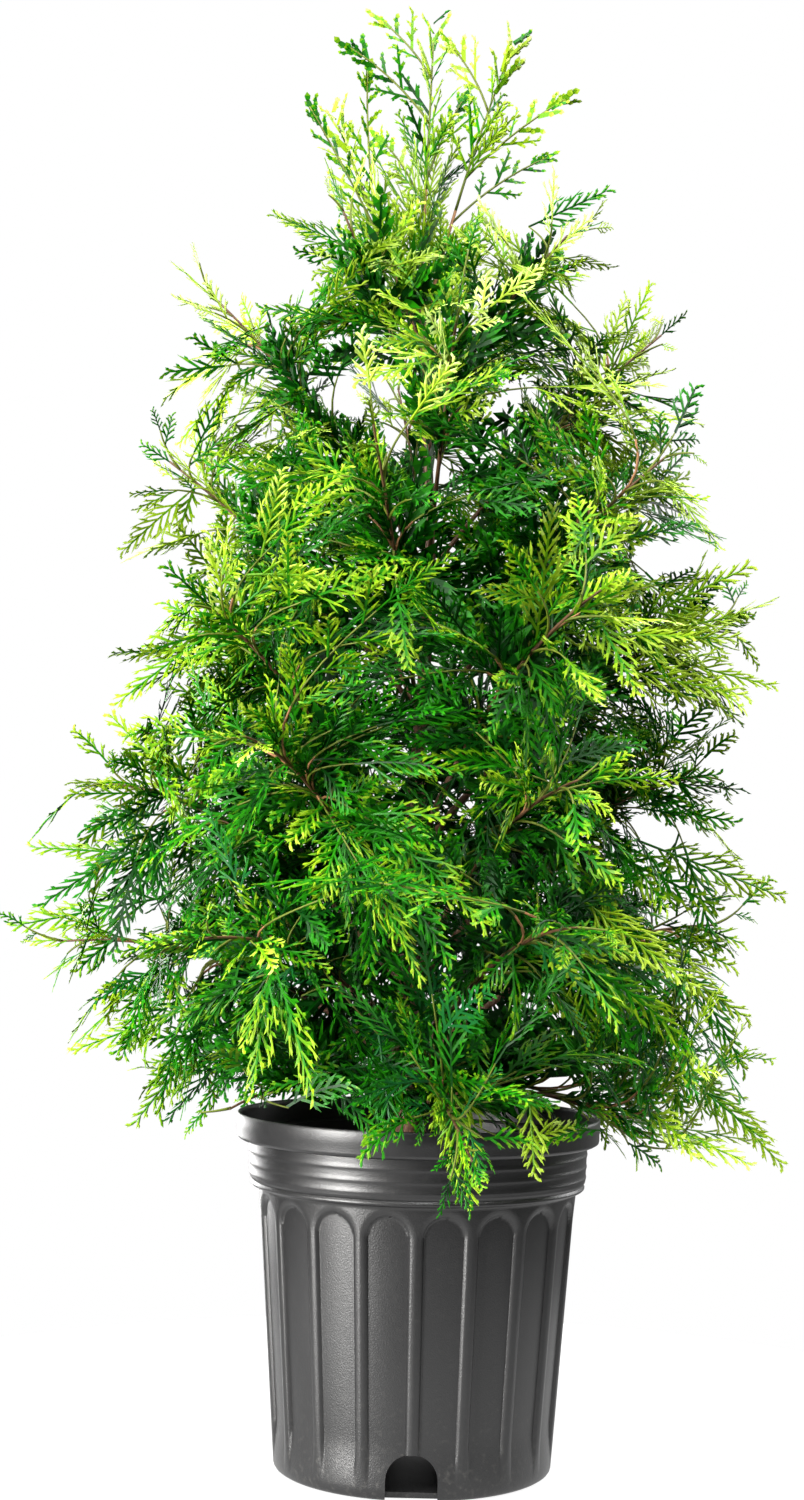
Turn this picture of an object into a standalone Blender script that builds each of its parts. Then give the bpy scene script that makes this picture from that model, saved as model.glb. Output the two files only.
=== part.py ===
"""Potted thuja: a young evergreen with flat scale-leaved sprays, in a black blow-moulded nursery pot.

Metres, +Z up. The origin is the middle of the pot's flat underside, and the photograph looks along +Y.
A limb is one smooth curve from the trunk to its tip. Its first stretch is a bough, and the rest is the stem
of a mass of foliage. A mass is that stem with toothed blades fused to it, each a flat spray of scale leaves.
"""

import math
import random
from collections import namedtuple

import bmesh
import bpy
import numpy as np

GAP = 0.0003  # clearance between neighbouring pieces
UP = np.array([0.0, 0.0, 1.0])
SEED = 7

# Pot
POT_HEIGHT = 0.162
RIM_RADIUS = 0.085
RIM_ROUNDING = 0.0010
BAND_RADIUS = 0.0790  # the collar under the lip
BODY_TOP_RADIUS = 0.0742
BODY_FOOT_RADIUS = 0.0645
LIP_FOOT_Z = 0.1500
BAND_FOOT_Z = 0.1290
LEDGE = 0.0005  # the height over which the wall steps out at the collar and at the lip
FOOT_CHAMFER = 0.0025
WALL = 0.0014
FLOOR = 0.0025
FLUTES = 18
FLUTE_DEPTH = 0.0018
FLUTE_HALF_WIDTH = 0.0078  # at the top of the body; a flute narrows with it towards the foot
FLUTE_SLOPE = 0.0026  # the width of the sloped edge round a flute
FLUTE_FOOT_Z = 0.0055
FLUTE_SPRING_Z = 0.1143  # where the straight flute turns into its round top
DRAIN_HOLES = 4
DRAIN_HALF_WIDTH = 0.0115
DRAIN_TOP_Z = 0.0205
DRAIN_DEPTH = 0.0075  # how far a drain hole reaches in from the foot of the wall

# Soil
SOIL_SIDES = 28
SOIL_EDGE_Z = 0.1440
SOIL_MID_Z = 0.1485
SOIL_FLAT_RADIUS = 0.018
SOIL_CLEARANCE = 0.0009  # from the pot's rounded wall, whose flats lie nearer than its corners

# Trunk
TRUNK_SIDES = 8
TRUNK_FOOT_X = -0.004
TRUNK_FOOT_Z = SOIL_MID_Z + GAP
TRUNK_TIP_Z = 0.560
TRUNK_RADIUS = 0.0046
TRUNK_TIP_RADIUS = 0.0011
FLARE_RADIUS = 0.0040  # what the root flare adds at the soil
FLARE_HEIGHT = 0.012
FLARE_LOBES = 0.14
SWAY = 0.0035
SWAY_TURNS = 1.15

# Limbs
BOUGH_SIDES = 6
BOUGH_RADIUS = 0.0021
STEM_SIDES = 3
STEM_RADIUS = 0.0014
STEM_TIP_RADIUS = 0.0008
END_BLADE = 0.67  # the share of a limb where its end blade's root is
STEM_STOP = 0.72  # the share of a limb where its stem ends, inside its end blade
BEND_SHARE = 0.42  # the share of a limb's reach where its curve is pulled to

# Blades
BLADE_TEETH = 4
BLADE_THICKNESS = 0.0016
BLADE_HALF_WIDTH = 0.35  # of the blade's length
BLADE_FOOT = 0.14  # the bare share of a blade at its root
BLADE_TIP = 0.88  # the share of a blade where its last tooth ends
BLADE_DROOP = 0.10
RACHIS_HALF_WIDTH = 0.0014
TOOTH_SWEEP = 1.25  # how far a tooth points forwards for each metre it points out
LONGEST, SHORTEST = 0.66, 0.52  # a side blade's length at its mass's root and tip, of the mass's length
WIDEST_DEG, NARROWEST_DEG = 50, 38  # the angle of a side blade to its stem, there and there
PAIR_TURN = math.radians(65)  # how far each next pair of blades is turned about the stem
BARE_SHARE = 0.22  # the share of a limb next to the trunk that carries no blade
LAST_BLADE = 0.66  # where on the limb the last side blade stands
TRIED_SIZES = (1.0, 0.88, 0.77, 0.67, 0.57, 0.48)
TRIED_TURNS = (0.0, 0.5, -0.5, 1.0, -1.0)  # about the stem, in radians
ROOT_REACH = 0.006  # the part of a blade this near its root is sunk in the stem and isn't tested
CELL_MARGIN = 0.0016
LIMB_MARGIN = 0.0011
POT_MARGIN = 0.0015

# A ring of limbs: its name, how many, the height where they leave the trunk, the first azimuth in degrees,
# the reach and height of their tips, how high they arch over those tips as a share of the reach (below 0 they
# still climb there), how far the ring's middle lies towards +X, how much lower its tips are at +X than at -X,
# the share of each limb that is bough, and the blades on each mass.
Ring = namedtuple("Ring", "name count leave_z first_az reach tip_z arch shift fall bough blades")
RINGS = (
    Ring("skirt", 6, 0.170, -20, 0.152, 0.150, 0.20, 0.012, 0.018, 0.0, 4),
    Ring("low", 6, 0.182, 180, 0.184, 0.245, 0.10, -0.007, 0.0, 0.30, 5),
    Ring("middle", 6, 0.222, 2, 0.166, 0.325, 0.0, -0.003, 0.0, 0.30, 5),
    Ring("upper", 5, 0.275, 8, 0.162, 0.400, -0.15, 0.006, 0.0, 0.28, 5),
    Ring("high", 5, 0.345, 186, 0.146, 0.475, -0.35, 0.003, 0.0, 0.0, 5),
    Ring("shoulder", 4, 0.425, 10, 0.128, 0.545, -0.45, 0.0, 0.0, 0.0, 4),
    Ring("neck", 3, 0.490, 215, 0.084, 0.605, -0.60, 0.010, 0.0, 0.0, 3),
)
# A leader at the top: where it leaves the trunk, and its own tip. The first carries the trunk on.
Leader = namedtuple("Leader", "name leave_z azimuth tip blades")
LEADERS = (
    Leader("main", TRUNK_TIP_Z, 180, (-0.003, 0.0, 0.688), 3),
    Leader("left", 0.528, 175, (-0.052, 0.006, 0.645), 3),
    Leader("right", 0.540, 350, (0.036, -0.006, 0.676), 3),
)
Limb = namedtuple("Limb", "name start bend end azimuth bough blades roll")
Blade = namedtuple("Blade", "root way side length droop")

# A look: its colour, its roughness
LOOKS = {
    "bark": ((0.20, 0.12, 0.07), 0.85),
    "leaf_green": ((0.09, 0.33, 0.05), 0.55),
    "black_plastic": ((0.028, 0.028, 0.030), 0.42),
    "potting_soil": ((0.045, 0.030, 0.020), 0.95),
}


def unit(vector):
    return vector / np.linalg.norm(vector)


def outward(azimuth):
    return np.array([math.cos(azimuth), math.sin(azimuth), 0.0])


def clear_scene():
    for obj in list(bpy.data.objects):
        bpy.data.objects.remove(obj, do_unlink=True)


def material(name):
    made = bpy.data.materials.get(name)
    if made is None:
        colour, roughness = LOOKS[name]
        made = bpy.data.materials.new(name)
        made.use_nodes = True
        shader = made.node_tree.nodes["Principled BSDF"]
        shader.inputs["Base Color"].default_value = (*colour, 1.0)
        shader.inputs["Roughness"].default_value = roughness
        shader.inputs["Metallic"].default_value = 0.0
    return made


def add_object(name, points, faces, look, group=None, smooth_deg=None):
    """One named object from points and faces, with its normals made to point out."""
    mesh = bpy.data.meshes.new(name)
    mesh.from_pydata([tuple(p) for p in points], [], faces)
    body = bmesh.new()
    body.from_mesh(mesh)
    bmesh.ops.recalc_face_normals(body, faces=body.faces)
    body.to_mesh(mesh)
    body.free()
    mesh.materials.append(material(look))
    if smooth_deg is not None:
        mesh.shade_smooth()
        mesh.set_sharp_from_angle(angle=math.radians(smooth_deg))
    made = bpy.data.objects.new(name, mesh)
    (group or bpy.context.scene.collection).objects.link(made)
    return made


def bridged_rings(rings):
    """Points and faces of a closed skin through rings of equal count, with a flat face over each end."""
    count = len(rings[0])
    points = [p for ring in rings for p in ring]
    faces = []
    for row in range(len(rings) - 1):
        for i in range(count):
            a, b = row * count + i, row * count + (i + 1) % count
            faces.append((a, b, b + count, a + count))
    faces.append(tuple(range(count - 1, -1, -1)))
    faces.append(tuple(range(len(points) - count, len(points))))
    return points, faces


def polygon(centre, across, over, radius, sides):
    """A regular ring of points about a centre, in the plane of two square directions."""
    turns = [2 * math.pi * (i + 0.5) / sides for i in range(sides)]
    return [centre + radius * (math.cos(t) * across + math.sin(t) * over) for t in turns]


# Pot and soil


def body_radius(z):
    """The pot body's outer radius between its flutes: a straight taper."""
    return BODY_FOOT_RADIUS + (BODY_TOP_RADIUS - BODY_FOOT_RADIUS) * z / BAND_FOOT_Z


def inner_radius(z):
    """The pot's inner radius below the collar, which clears the back of the flutes."""
    return body_radius(z) - FLUTE_DEPTH - WALL


def flute_half_width(z):
    """Half the flat of a flute: straight below its spring line, and a blunt half circle above."""
    over = max(0.0, z - FLUTE_SPRING_Z)
    return math.sqrt(max(FLUTE_HALF_WIDTH**2 - over**2, (0.3 * FLUTE_HALF_WIDTH) ** 2))


def pot_ring(z, radius, flat_half_width=FLUTE_HALF_WIDTH, depth=0.0):
    """A ring of four points to each flute: shoulder, two on the flat, shoulder. The flat is sunk by depth."""
    ring = []
    for flute in range(FLUTES):
        middle = 2 * math.pi * flute / FLUTES
        for side, slope in ((-1, FLUTE_SLOPE), (-1, 0.0), (1, 0.0), (1, FLUTE_SLOPE)):
            angle = middle + side * (flat_half_width + slope) / BODY_TOP_RADIUS
            r = radius if slope else radius - depth
            ring.append((r * math.cos(angle), r * math.sin(angle), z))
    return ring


def build_pot():
    """The fluted body, the collar and the lip, and back down the inside to the floor, as one skin."""
    arch_top_z = FLUTE_SPRING_Z + FLUTE_HALF_WIDTH
    rings = [
        pot_ring(0.0, BODY_FOOT_RADIUS - FOOT_CHAMFER),
        pot_ring(FOOT_CHAMFER, body_radius(FOOT_CHAMFER)),
    ]
    for z in (FLUTE_FOOT_Z, FLUTE_SPRING_Z, FLUTE_SPRING_Z + 0.62 * FLUTE_HALF_WIDTH, arch_top_z):
        rings.append(pot_ring(z, body_radius(z), flute_half_width(z), FLUTE_DEPTH))
    for z, radius in (
        (arch_top_z + FLUTE_SLOPE, body_radius(arch_top_z)),
        (BAND_FOOT_Z - LEDGE, BODY_TOP_RADIUS),
        (BAND_FOOT_Z, BAND_RADIUS - RIM_ROUNDING),
        (LIP_FOOT_Z - LEDGE, BAND_RADIUS),
        (LIP_FOOT_Z, RIM_RADIUS),
        (POT_HEIGHT - RIM_ROUNDING, RIM_RADIUS),
        (POT_HEIGHT, RIM_RADIUS - RIM_ROUNDING),
        (POT_HEIGHT - LEDGE, RIM_RADIUS - WALL),
        (LIP_FOOT_Z + WALL, BAND_RADIUS - WALL),
        (BAND_FOOT_Z, inner_radius(BAND_FOOT_Z)),
        (FLOOR, inner_radius(FLOOR)),
    ):
        rings.append(pot_ring(z, radius))
    pot = add_object("pot", *bridged_rings(rings), "black_plastic", smooth_deg=32)
    for number in range(DRAIN_HOLES):
        cut_drain_hole(pot, number)


def cut_drain_hole(pot, number):
    """A round-topped notch through the foot of the wall, cut by a prism that points outwards."""
    azimuth = 2 * math.pi * number / DRAIN_HOLES
    out, along = outward(azimuth), outward(azimuth + math.pi / 2)
    spring = DRAIN_TOP_Z - DRAIN_HALF_WIDTH
    outline = [(-DRAIN_HALF_WIDTH, -FLOOR), (DRAIN_HALF_WIDTH, -FLOOR)]
    for turn in np.linspace(0, math.pi, 9):
        outline.append((DRAIN_HALF_WIDTH * math.cos(turn), spring + DRAIN_HALF_WIDTH * math.sin(turn)))
    rings = [
        [r * out + x * along + z * UP for x, z in outline]
        for r in (BODY_FOOT_RADIUS - DRAIN_DEPTH, BODY_FOOT_RADIUS + DRAIN_DEPTH)
    ]
    cutter = add_object(f"drain_cutter_{number}", *bridged_rings(rings), "black_plastic")
    cutter.hide_render = True
    cutter.display_type = "WIRE"
    cut = pot.modifiers.new("drain hole", "BOOLEAN")
    cut.operation = "DIFFERENCE"
    cut.solver = "EXACT"
    cut.object = cutter


def build_soil():
    """A plug of soil that fills the pot to just under its rim, highest round the trunk."""
    collar_z = BAND_FOOT_Z - LEDGE
    profile = (
        (FLOOR + GAP, inner_radius(FLOOR) - SOIL_CLEARANCE),
        (collar_z, inner_radius(collar_z) - SOIL_CLEARANCE),
        (SOIL_EDGE_Z, BODY_TOP_RADIUS - FLUTE_DEPTH),
        (0.6 * SOIL_MID_Z + 0.4 * SOIL_EDGE_Z, 0.5 * BODY_TOP_RADIUS),
        (SOIL_MID_Z, SOIL_FLAT_RADIUS),
    )
    rings = [polygon(z * UP, outward(0), outward(math.pi / 2), r, SOIL_SIDES) for z, r in profile]
    add_object("soil", *bridged_rings(rings), "potting_soil", smooth_deg=30)


# Trunk


def trunk_share(z):
    return (z - TRUNK_FOOT_Z) / (TRUNK_TIP_Z - TRUNK_FOOT_Z)


def trunk_point(z):
    """The trunk's centre line, planted a little to one side, with a slow S that starts at the soil."""
    share = trunk_share(z)
    turn = 2 * math.pi * SWAY_TURNS * share
    swell = SWAY * min(1.0, 3.0 * share)
    return np.array([TRUNK_FOOT_X - swell * math.sin(turn), swell * math.sin(0.8 * turn), z])


def trunk_way(z):
    """The direction of the trunk's centre line, upwards."""
    return unit(trunk_point(z + 0.001) - trunk_point(z - 0.001))


def trunk_radius(z):
    """A taper that is slow at first, plus a root flare that dies away above the soil."""
    share = min(1.0, trunk_share(z))
    flare = FLARE_RADIUS * math.exp(-(z - TRUNK_FOOT_Z) / FLARE_HEIGHT)
    return TRUNK_RADIUS * (1 - share) ** 0.8 + TRUNK_TIP_RADIUS * share + flare


def flare_lobe(z):
    """The share by which the trunk's corners stand in and out in turn, like roots, near the soil."""
    return FLARE_LOBES * math.exp(-(z - TRUNK_FOOT_Z) / FLARE_HEIGHT)


def clear_of_trunk(z):
    """How far from the trunk's centre line a limb's flat root clears the trunk, at its lower edge too."""
    low_z = z - BOUGH_RADIUS
    return trunk_radius(low_z) * (1 + flare_lobe(low_z)) + GAP


def build_trunk():
    heights = [TRUNK_FOOT_Z + rise for rise in (0.0, 0.004, 0.010, 0.022)]
    heights += list(np.linspace(TRUNK_FOOT_Z + 0.040, TRUNK_TIP_Z, 14))
    rings = []
    for z in heights:
        ring = []
        for i in range(TRUNK_SIDES):
            radius = trunk_radius(z) * (1 + flare_lobe(z) * (1 if i % 2 else -1))
            ring.append(trunk_point(z) + radius * outward(2 * math.pi * i / TRUNK_SIDES))
        rings.append(ring)
    add_object("trunk", *bridged_rings(rings), "bark", smooth_deg=50)


# Limbs


def limb_point(limb, t):
    """A point on the limb's curve, a quadratic one from its start to its end that is pulled to its bend."""
    return (1 - t) ** 2 * limb.start + 2 * t * (1 - t) * limb.bend + t**2 * limb.end


def limb_way(limb, t):
    return unit((1 - t) * (limb.bend - limb.start) + t * (limb.end - limb.bend))


def ring_limbs():
    """Every limb of every ring: it leaves the trunk steeply, and then climbs or arches over to its tip."""
    draw = random.Random(SEED)
    limbs = []
    for ring in RINGS:
        for number in range(ring.count):
            azimuth = math.radians(ring.first_az + 360 / ring.count * number + draw.uniform(-5, 5))
            leave = trunk_point(ring.leave_z + draw.uniform(-0.006, 0.010))
            out = outward(azimuth)
            start = leave + out * clear_of_trunk(leave[2])
            reach = ring.reach * draw.uniform(0.94, 1.04)
            tip_z = ring.tip_z - ring.fall * out[0] + draw.uniform(-0.010, 0.010)
            end = out * reach + np.array([ring.shift, 0.0, tip_z])
            bend = start + out * BEND_SHARE * reach
            bend[2] = max(end[2], start[2]) + ring.arch * reach
            roll = math.radians(draw.uniform(25, 60)) * (1 if number % 2 else -1)
            name = f"{ring.name}_{number + 1}"
            limbs.append(Limb(name, start, bend, end, azimuth, ring.bough, ring.blades, roll))
    return limbs


def leader_limbs():
    """The leader that carries the trunk on, and the two that rise beside it."""
    limbs = []
    for number, leader in enumerate(LEADERS):
        end, azimuth = np.array(leader.tip), math.radians(leader.azimuth)
        out = outward(azimuth)
        if leader.leave_z == TRUNK_TIP_Z:
            start = trunk_point(TRUNK_TIP_Z) + GAP * UP
            bend = 0.6 * start + 0.4 * end
        else:
            leave = trunk_point(leader.leave_z)
            start = leave + out * clear_of_trunk(leave[2])
            bend = start + out * BEND_SHARE * math.hypot(end[0], end[1])
            bend[2] = 0.5 * (start[2] + end[2])
        roll = math.radians(90 + 35 * number)
        limbs.append(Limb(f"leader_{leader.name}", start, bend, end, azimuth, 0.0, leader.blades, roll))
    return limbs


def side_way(limb, t, roll):
    """The direction square to the limb that is level at roll 0 and upright at a quarter turn."""
    way = limb_way(limb, t)
    level = outward(limb.azimuth + math.pi / 2)
    level = unit(level - way * np.dot(level, way))
    return unit(math.cos(roll) * level + math.sin(roll) * np.cross(way, level))


def root_ring(limb, radius, sides):
    """A ring at the limb's start that lies flat against the trunk's side."""
    return polygon(limb.start, outward(limb.azimuth + math.pi / 2), trunk_way(limb.start[2]), radius, sides)


def square_ring(limb, t, radius, sides):
    """A ring square to the limb."""
    return polygon(limb_point(limb, t), side_way(limb, t, 0), side_way(limb, t, math.pi / 2), radius, sides)


def mass_start(limb):
    """The share of the limb where its mass of foliage takes over, past its bough's flat tip by the gap."""
    if not limb.bough:
        return 0.0
    step = 0.01
    length = np.linalg.norm(limb_point(limb, limb.bough + step) - limb_point(limb, limb.bough)) / step
    return limb.bough + GAP / length


def build_bough(limb):
    """A tapering six-sided tube along the limb's first stretch, its root flat against the trunk."""
    rings = [root_ring(limb, BOUGH_RADIUS, BOUGH_SIDES)]
    for share in (0.36, 0.68, 1.0):
        radius = BOUGH_RADIUS + (STEM_RADIUS - BOUGH_RADIUS) * share
        rings.append(square_ring(limb, limb.bough * share, radius, BOUGH_SIDES))
    add_object(f"bough_{limb.name}", *bridged_rings(rings), "bark", smooth_deg=50)


def blade_shares(limb):
    """Where along the limb its side blades stand."""
    first, count = max(mass_start(limb), BARE_SHARE), limb.blades - 1
    return [first + (LAST_BLADE - first) * (number + 0.5) / count for number in range(count)]


def build_stem(limb):
    """The three-sided stem of a mass, from its bough's tip or the trunk, with a ring at each blade's root."""
    first = mass_start(limb)
    on_trunk = not limb.bough and limb.start[2] < TRUNK_TIP_Z
    rings = [root_ring(limb, STEM_RADIUS, STEM_SIDES)] if on_trunk else []
    for t in ([] if on_trunk else [first]) + blade_shares(limb) + [END_BLADE, STEM_STOP]:
        radius = STEM_RADIUS + (STEM_TIP_RADIUS - STEM_RADIUS) * (t - first) / (STEM_STOP - first)
        rings.append(square_ring(limb, t, radius, STEM_SIDES))
    return add_object(f"foliage_{limb.name}", *bridged_rings(rings), "leaf_green")


# Blades


def side_blade(limb, number, turn, size):
    """The side blade of this number, in turn on opposite sides of the stem, longest near its root."""
    t = blade_shares(limb)[number]
    share = (number + 0.5) / (limb.blades - 1)
    way = limb_way(limb, t)
    side = side_way(limb, t, limb.roll + PAIR_TURN * (number // 2) + math.pi * (number % 2) + turn)
    angle = math.radians(WIDEST_DEG + (NARROWEST_DEG - WIDEST_DEG) * share)
    heading = unit(way * math.cos(angle) + side * math.sin(angle))
    mass_length = np.linalg.norm(limb.end - limb_point(limb, max(mass_start(limb), BARE_SHARE)))
    length = (LONGEST + (SHORTEST - LONGEST) * share) * mass_length * size
    flat = unit(way - heading * np.dot(way, heading))
    return Blade(limb_point(limb, t), heading, flat, length, BLADE_DROOP)


def end_blade(limb):
    """The blade that carries the stem on to the limb's tip."""
    root = limb_point(limb, END_BLADE)
    heading = unit(limb.end - root)
    side = side_way(limb, END_BLADE, limb.roll)
    side = unit(side - heading * np.dot(side, heading))
    return Blade(root, heading, side, np.linalg.norm(limb.end - root), 0.0)


def tooth_reach(share):
    """A blade's half width for each metre of length: it rises to a third of the way and falls to the tip."""
    rise, fall = 0.60 + 1.20 * share, 1.0 - 1.19 * (share - 0.33)
    return BLADE_HALF_WIDTH * min(rise, fall)


def blade_point(blade, share):
    """A point on the blade's rachis, which bends down by its droop for each metre of its length."""
    return blade.root + blade.length * (share * blade.way - blade.droop * share**2 * UP)


def blade_shape(blade):
    """Points and faces of one toothed blade, on a rachis that is flat on top with a keel below.

    The rachis has a bare foot, then equal stretches that each carry a pointed tooth on either side.
    """
    over = unit(np.cross(blade.way, blade.side))
    over = over if over[2] >= 0 else -over
    shares = [0.0] + list(np.linspace(BLADE_FOOT, BLADE_TIP, BLADE_TEETH + 1))
    points = []
    for share in shares:
        half_width = RACHIS_HALF_WIDTH * (1 - 0.5 * share)
        half_thick = 0.5 * BLADE_THICKNESS * (1 - 0.4 * share)
        for across, up in ((-half_width, half_thick), (half_width, half_thick), (0.0, -half_thick)):
            points.append(blade_point(blade, share) + across * blade.side + up * over)
    faces = [(0, 2, 1), (0, 1, 4, 3), (1, 2, 5, 4), (2, 0, 3, 5)]
    for i in range(1, BLADE_TEETH + 1):
        a, b = 3 * i, 3 * i + 3
        faces.append((a, a + 1, b + 1, b))
        reach = tooth_reach((shares[i] + shares[i + 1]) / 2)
        for edge, across in ((0, -1), (1, 1)):
            tip = blade_point(blade, shares[i] + TOOTH_SWEEP * reach)
            points.append(tip + blade.length * reach * (across * blade.side - 0.5 * blade.droop * UP))
            base = (a + edge, b + edge, b + 2, a + 2)
            faces += [(base[j], base[(j + 1) % 4], len(points) - 1) for j in range(4)]
    points.append(blade_point(blade, 1.0))
    last = 3 * (BLADE_TEETH + 1)
    faces += [(last + j, last + (j + 1) % 3, len(points) - 1) for j in range(3)]
    return points, faces


# The space of each mass


def chain_along(limb, first, last):
    """Points along a limb, which stand for it when distances are measured."""
    return np.array([limb_point(limb, t) for t in np.linspace(first, last, 13)])


def distance_to_chain(points, chain):
    """The distance from each point to the nearest stretch of a chain."""
    start, along = chain[:-1], chain[1:] - chain[:-1]
    rel = points[:, None, :] - start[None]
    share = np.clip((rel * along).sum(2) / (along**2).sum(1), 0, 1)
    return np.linalg.norm(rel - share[..., None] * along, axis=2).min(1)


def with_middles(points, faces):
    """The points of a shape with the middles of its edges and faces, for testing where it goes."""
    points = np.array(points)
    middles = [points[list(face)].mean(0) for face in faces]
    halves = [(points[face[i]] + points[face[i - 1]]) / 2 for face in faces for i in range(len(face))]
    return np.vstack([points, middles, halves])


def clears_pot(points):
    """True if every point is above the rim, outside the pot, or inside it and above the soil."""
    radius = np.hypot(points[:, 0], points[:, 1])
    above = points[:, 2] > POT_HEIGHT + POT_MARGIN
    outside = radius > RIM_RADIUS + POT_MARGIN
    inside = (radius < inner_radius(BAND_FOOT_Z) - POT_MARGIN) & (points[:, 2] > SOIL_MID_Z + POT_MARGIN)
    return bool((above | outside | inside).all())


def keeps_to_its_space(points, limb, chains, tubes):
    """True if every point is nearer to its own stem than to any other, and clear of the trunk and boughs."""
    own = distance_to_chain(points, chains[limb.name])
    for name, chain in chains.items():
        if name != limb.name and (own + CELL_MARGIN > distance_to_chain(points, chain)).any():
            return False
    for chain, radius in tubes:
        if (distance_to_chain(points, chain) < radius + LIMB_MARGIN).any():
            return False
    return clears_pot(points)


def fitted_blade(choices, limb, chains, tubes):
    """The longest of the choices and their shorter copies that keeps to the mass's space, or None."""
    for size in TRIED_SIZES:
        for blade in choices:
            points, faces = blade_shape(blade._replace(length=blade.length * size))
            tested = with_middles(points, faces)
            sunk = np.linalg.norm(tested - blade.root, axis=1) < ROOT_REACH
            if keeps_to_its_space(tested[~sunk], limb, chains, tubes):
                return points, faces
    return None


def fuse(stem, group):
    """Joins the stem and the group's objects by one union, applied, and removes the group."""
    join = stem.modifiers.new("join", "BOOLEAN")
    join.operation = "UNION"
    join.operand_type = "COLLECTION"
    join.solver = "EXACT"
    join.collection = group
    bpy.context.view_layer.update()
    joined = bpy.data.meshes.new_from_object(stem.evaluated_get(bpy.context.evaluated_depsgraph_get()))
    stem.modifiers.clear()
    stem.data = joined
    for blade in list(group.objects):
        bpy.data.objects.remove(blade, do_unlink=True)
    bpy.data.collections.remove(group)


def build_mass(limb, chains, tubes, draw):
    """A stem with every blade that fits."""
    shapes = [fitted_blade([end_blade(limb)], limb, chains, tubes)]
    for number in range(limb.blades - 1):
        size, lean = draw.uniform(0.94, 1.08), math.radians(draw.uniform(-12, 12))
        choices = [side_blade(limb, number, turn + lean, size) for turn in TRIED_TURNS]
        shapes.append(fitted_blade(choices, limb, chains, tubes))
    group = bpy.data.collections.new("blades")
    bpy.context.scene.collection.children.link(group)
    for shape in shapes:
        if shape is not None:
            add_object("blade", *shape, "leaf_green", group)
    fuse(build_stem(limb), group)


def build_plant():
    build_trunk()
    limbs = ring_limbs() + leader_limbs()
    chains = {limb.name: chain_along(limb, mass_start(limb), 1.0) for limb in limbs}
    heights = np.linspace(TRUNK_FOOT_Z, TRUNK_TIP_Z, 40)
    tubes = [(np.array([trunk_point(z) for z in heights]), TRUNK_RADIUS)]
    for limb in limbs:
        if limb.bough:
            tubes.append((chain_along(limb, 0.0, limb.bough), BOUGH_RADIUS))
            build_bough(limb)
    draw = random.Random(SEED)
    for limb in limbs:
        build_mass(limb, chains, tubes, draw)


def main():
    clear_scene()
    build_pot()
    build_soil()
    build_plant()


main()
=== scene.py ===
"""Looks of a potted thuja: a young evergreen with flat sprays of scale leaves, in a black nursery pot.

Metres, +Z up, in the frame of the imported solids. Limbs follow the same rule as the solids. Each limb is
carried on here to side twigs, and each twig to fronds: a frond is a flat pattern of a rachis, side
branchlets and short scaly tips, laid on a curved sheet.
"""

import math
import random
from collections import namedtuple

import bpy
import numpy as np
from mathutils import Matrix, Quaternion, Vector
from mathutils.kdtree import KDTree


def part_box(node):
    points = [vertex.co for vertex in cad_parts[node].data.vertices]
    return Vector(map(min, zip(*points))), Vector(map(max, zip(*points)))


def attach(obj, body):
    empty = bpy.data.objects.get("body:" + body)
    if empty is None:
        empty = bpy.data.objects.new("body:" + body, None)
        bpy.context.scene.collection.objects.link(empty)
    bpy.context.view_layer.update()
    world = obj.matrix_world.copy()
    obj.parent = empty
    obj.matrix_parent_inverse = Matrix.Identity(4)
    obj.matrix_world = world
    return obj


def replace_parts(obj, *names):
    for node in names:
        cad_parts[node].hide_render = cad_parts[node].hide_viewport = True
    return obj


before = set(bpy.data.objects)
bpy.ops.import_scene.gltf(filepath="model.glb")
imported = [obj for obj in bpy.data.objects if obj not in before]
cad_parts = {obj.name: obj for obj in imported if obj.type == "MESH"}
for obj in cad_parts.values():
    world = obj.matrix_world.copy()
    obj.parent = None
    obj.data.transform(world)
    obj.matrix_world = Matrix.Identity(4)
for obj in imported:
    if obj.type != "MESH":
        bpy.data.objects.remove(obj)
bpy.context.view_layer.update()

bl_info = {
    "name": "Potted thuja",
    "version": (1, 0, 0),
    "blender": (4, 5, 0),
    "location": "View3D > Sidebar > Thuja",
    "description": "Builds the looks of a potted thuja round its solids",
    "category": "Object",
}

BODY = "root"
UP = np.array([0.0, 0.0, 1.0])

# Pot, read from its solid where that says it
RIM_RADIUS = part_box("pot")[1].y
POT_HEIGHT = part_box("pot")[1].z
LIP_HEIGHT = 0.012
COLLAR_HEIGHT = 0.021
COLLAR_RADIUS = 0.0790
COLLAR_RIBS_Z = (0.1348, 0.1397, 0.1452)
COLLAR_RIB_WIDTH = 0.0009
COLLAR_GROOVE_Z = 0.1313
COLLAR_GROOVE_WIDTH, COLLAR_GROOVE_DEPTH = 0.0008, 0.0009
BODY_TOP_RADIUS = 0.0742
BODY_FOOT_RADIUS = 0.0645
FOOT_ROUNDING = 0.0025
WALL = 0.0014
POT_FLOOR = 0.0025
FLUTES = 18
FLUTE_HALF_WIDTH = 0.0096  # at the top of the body, to the middle of the slope round a flute
FLUTE_SLOPE = 0.0023
FLUTE_FOOT_Z = 0.002
FLUTE_FADE = 0.024  # a flute deepens over this height above its foot
FLUTE_SPRING_Z = 0.1143  # where a flute's straight sides turn into its round top
COLUMNS_PER_FLUTE = 36
WALL_ROWS = ((0.003, 0.030, 10), (0.034, 0.110, 13), (0.1115, 0.1275, 21))  # from, to and how many
DRAIN_HOLES = 4
DRAIN_HALF_WIDTH = 0.0115
DRAIN_TOP_Z = 0.0205
DRAIN_DEPTH = 0.0075

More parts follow.
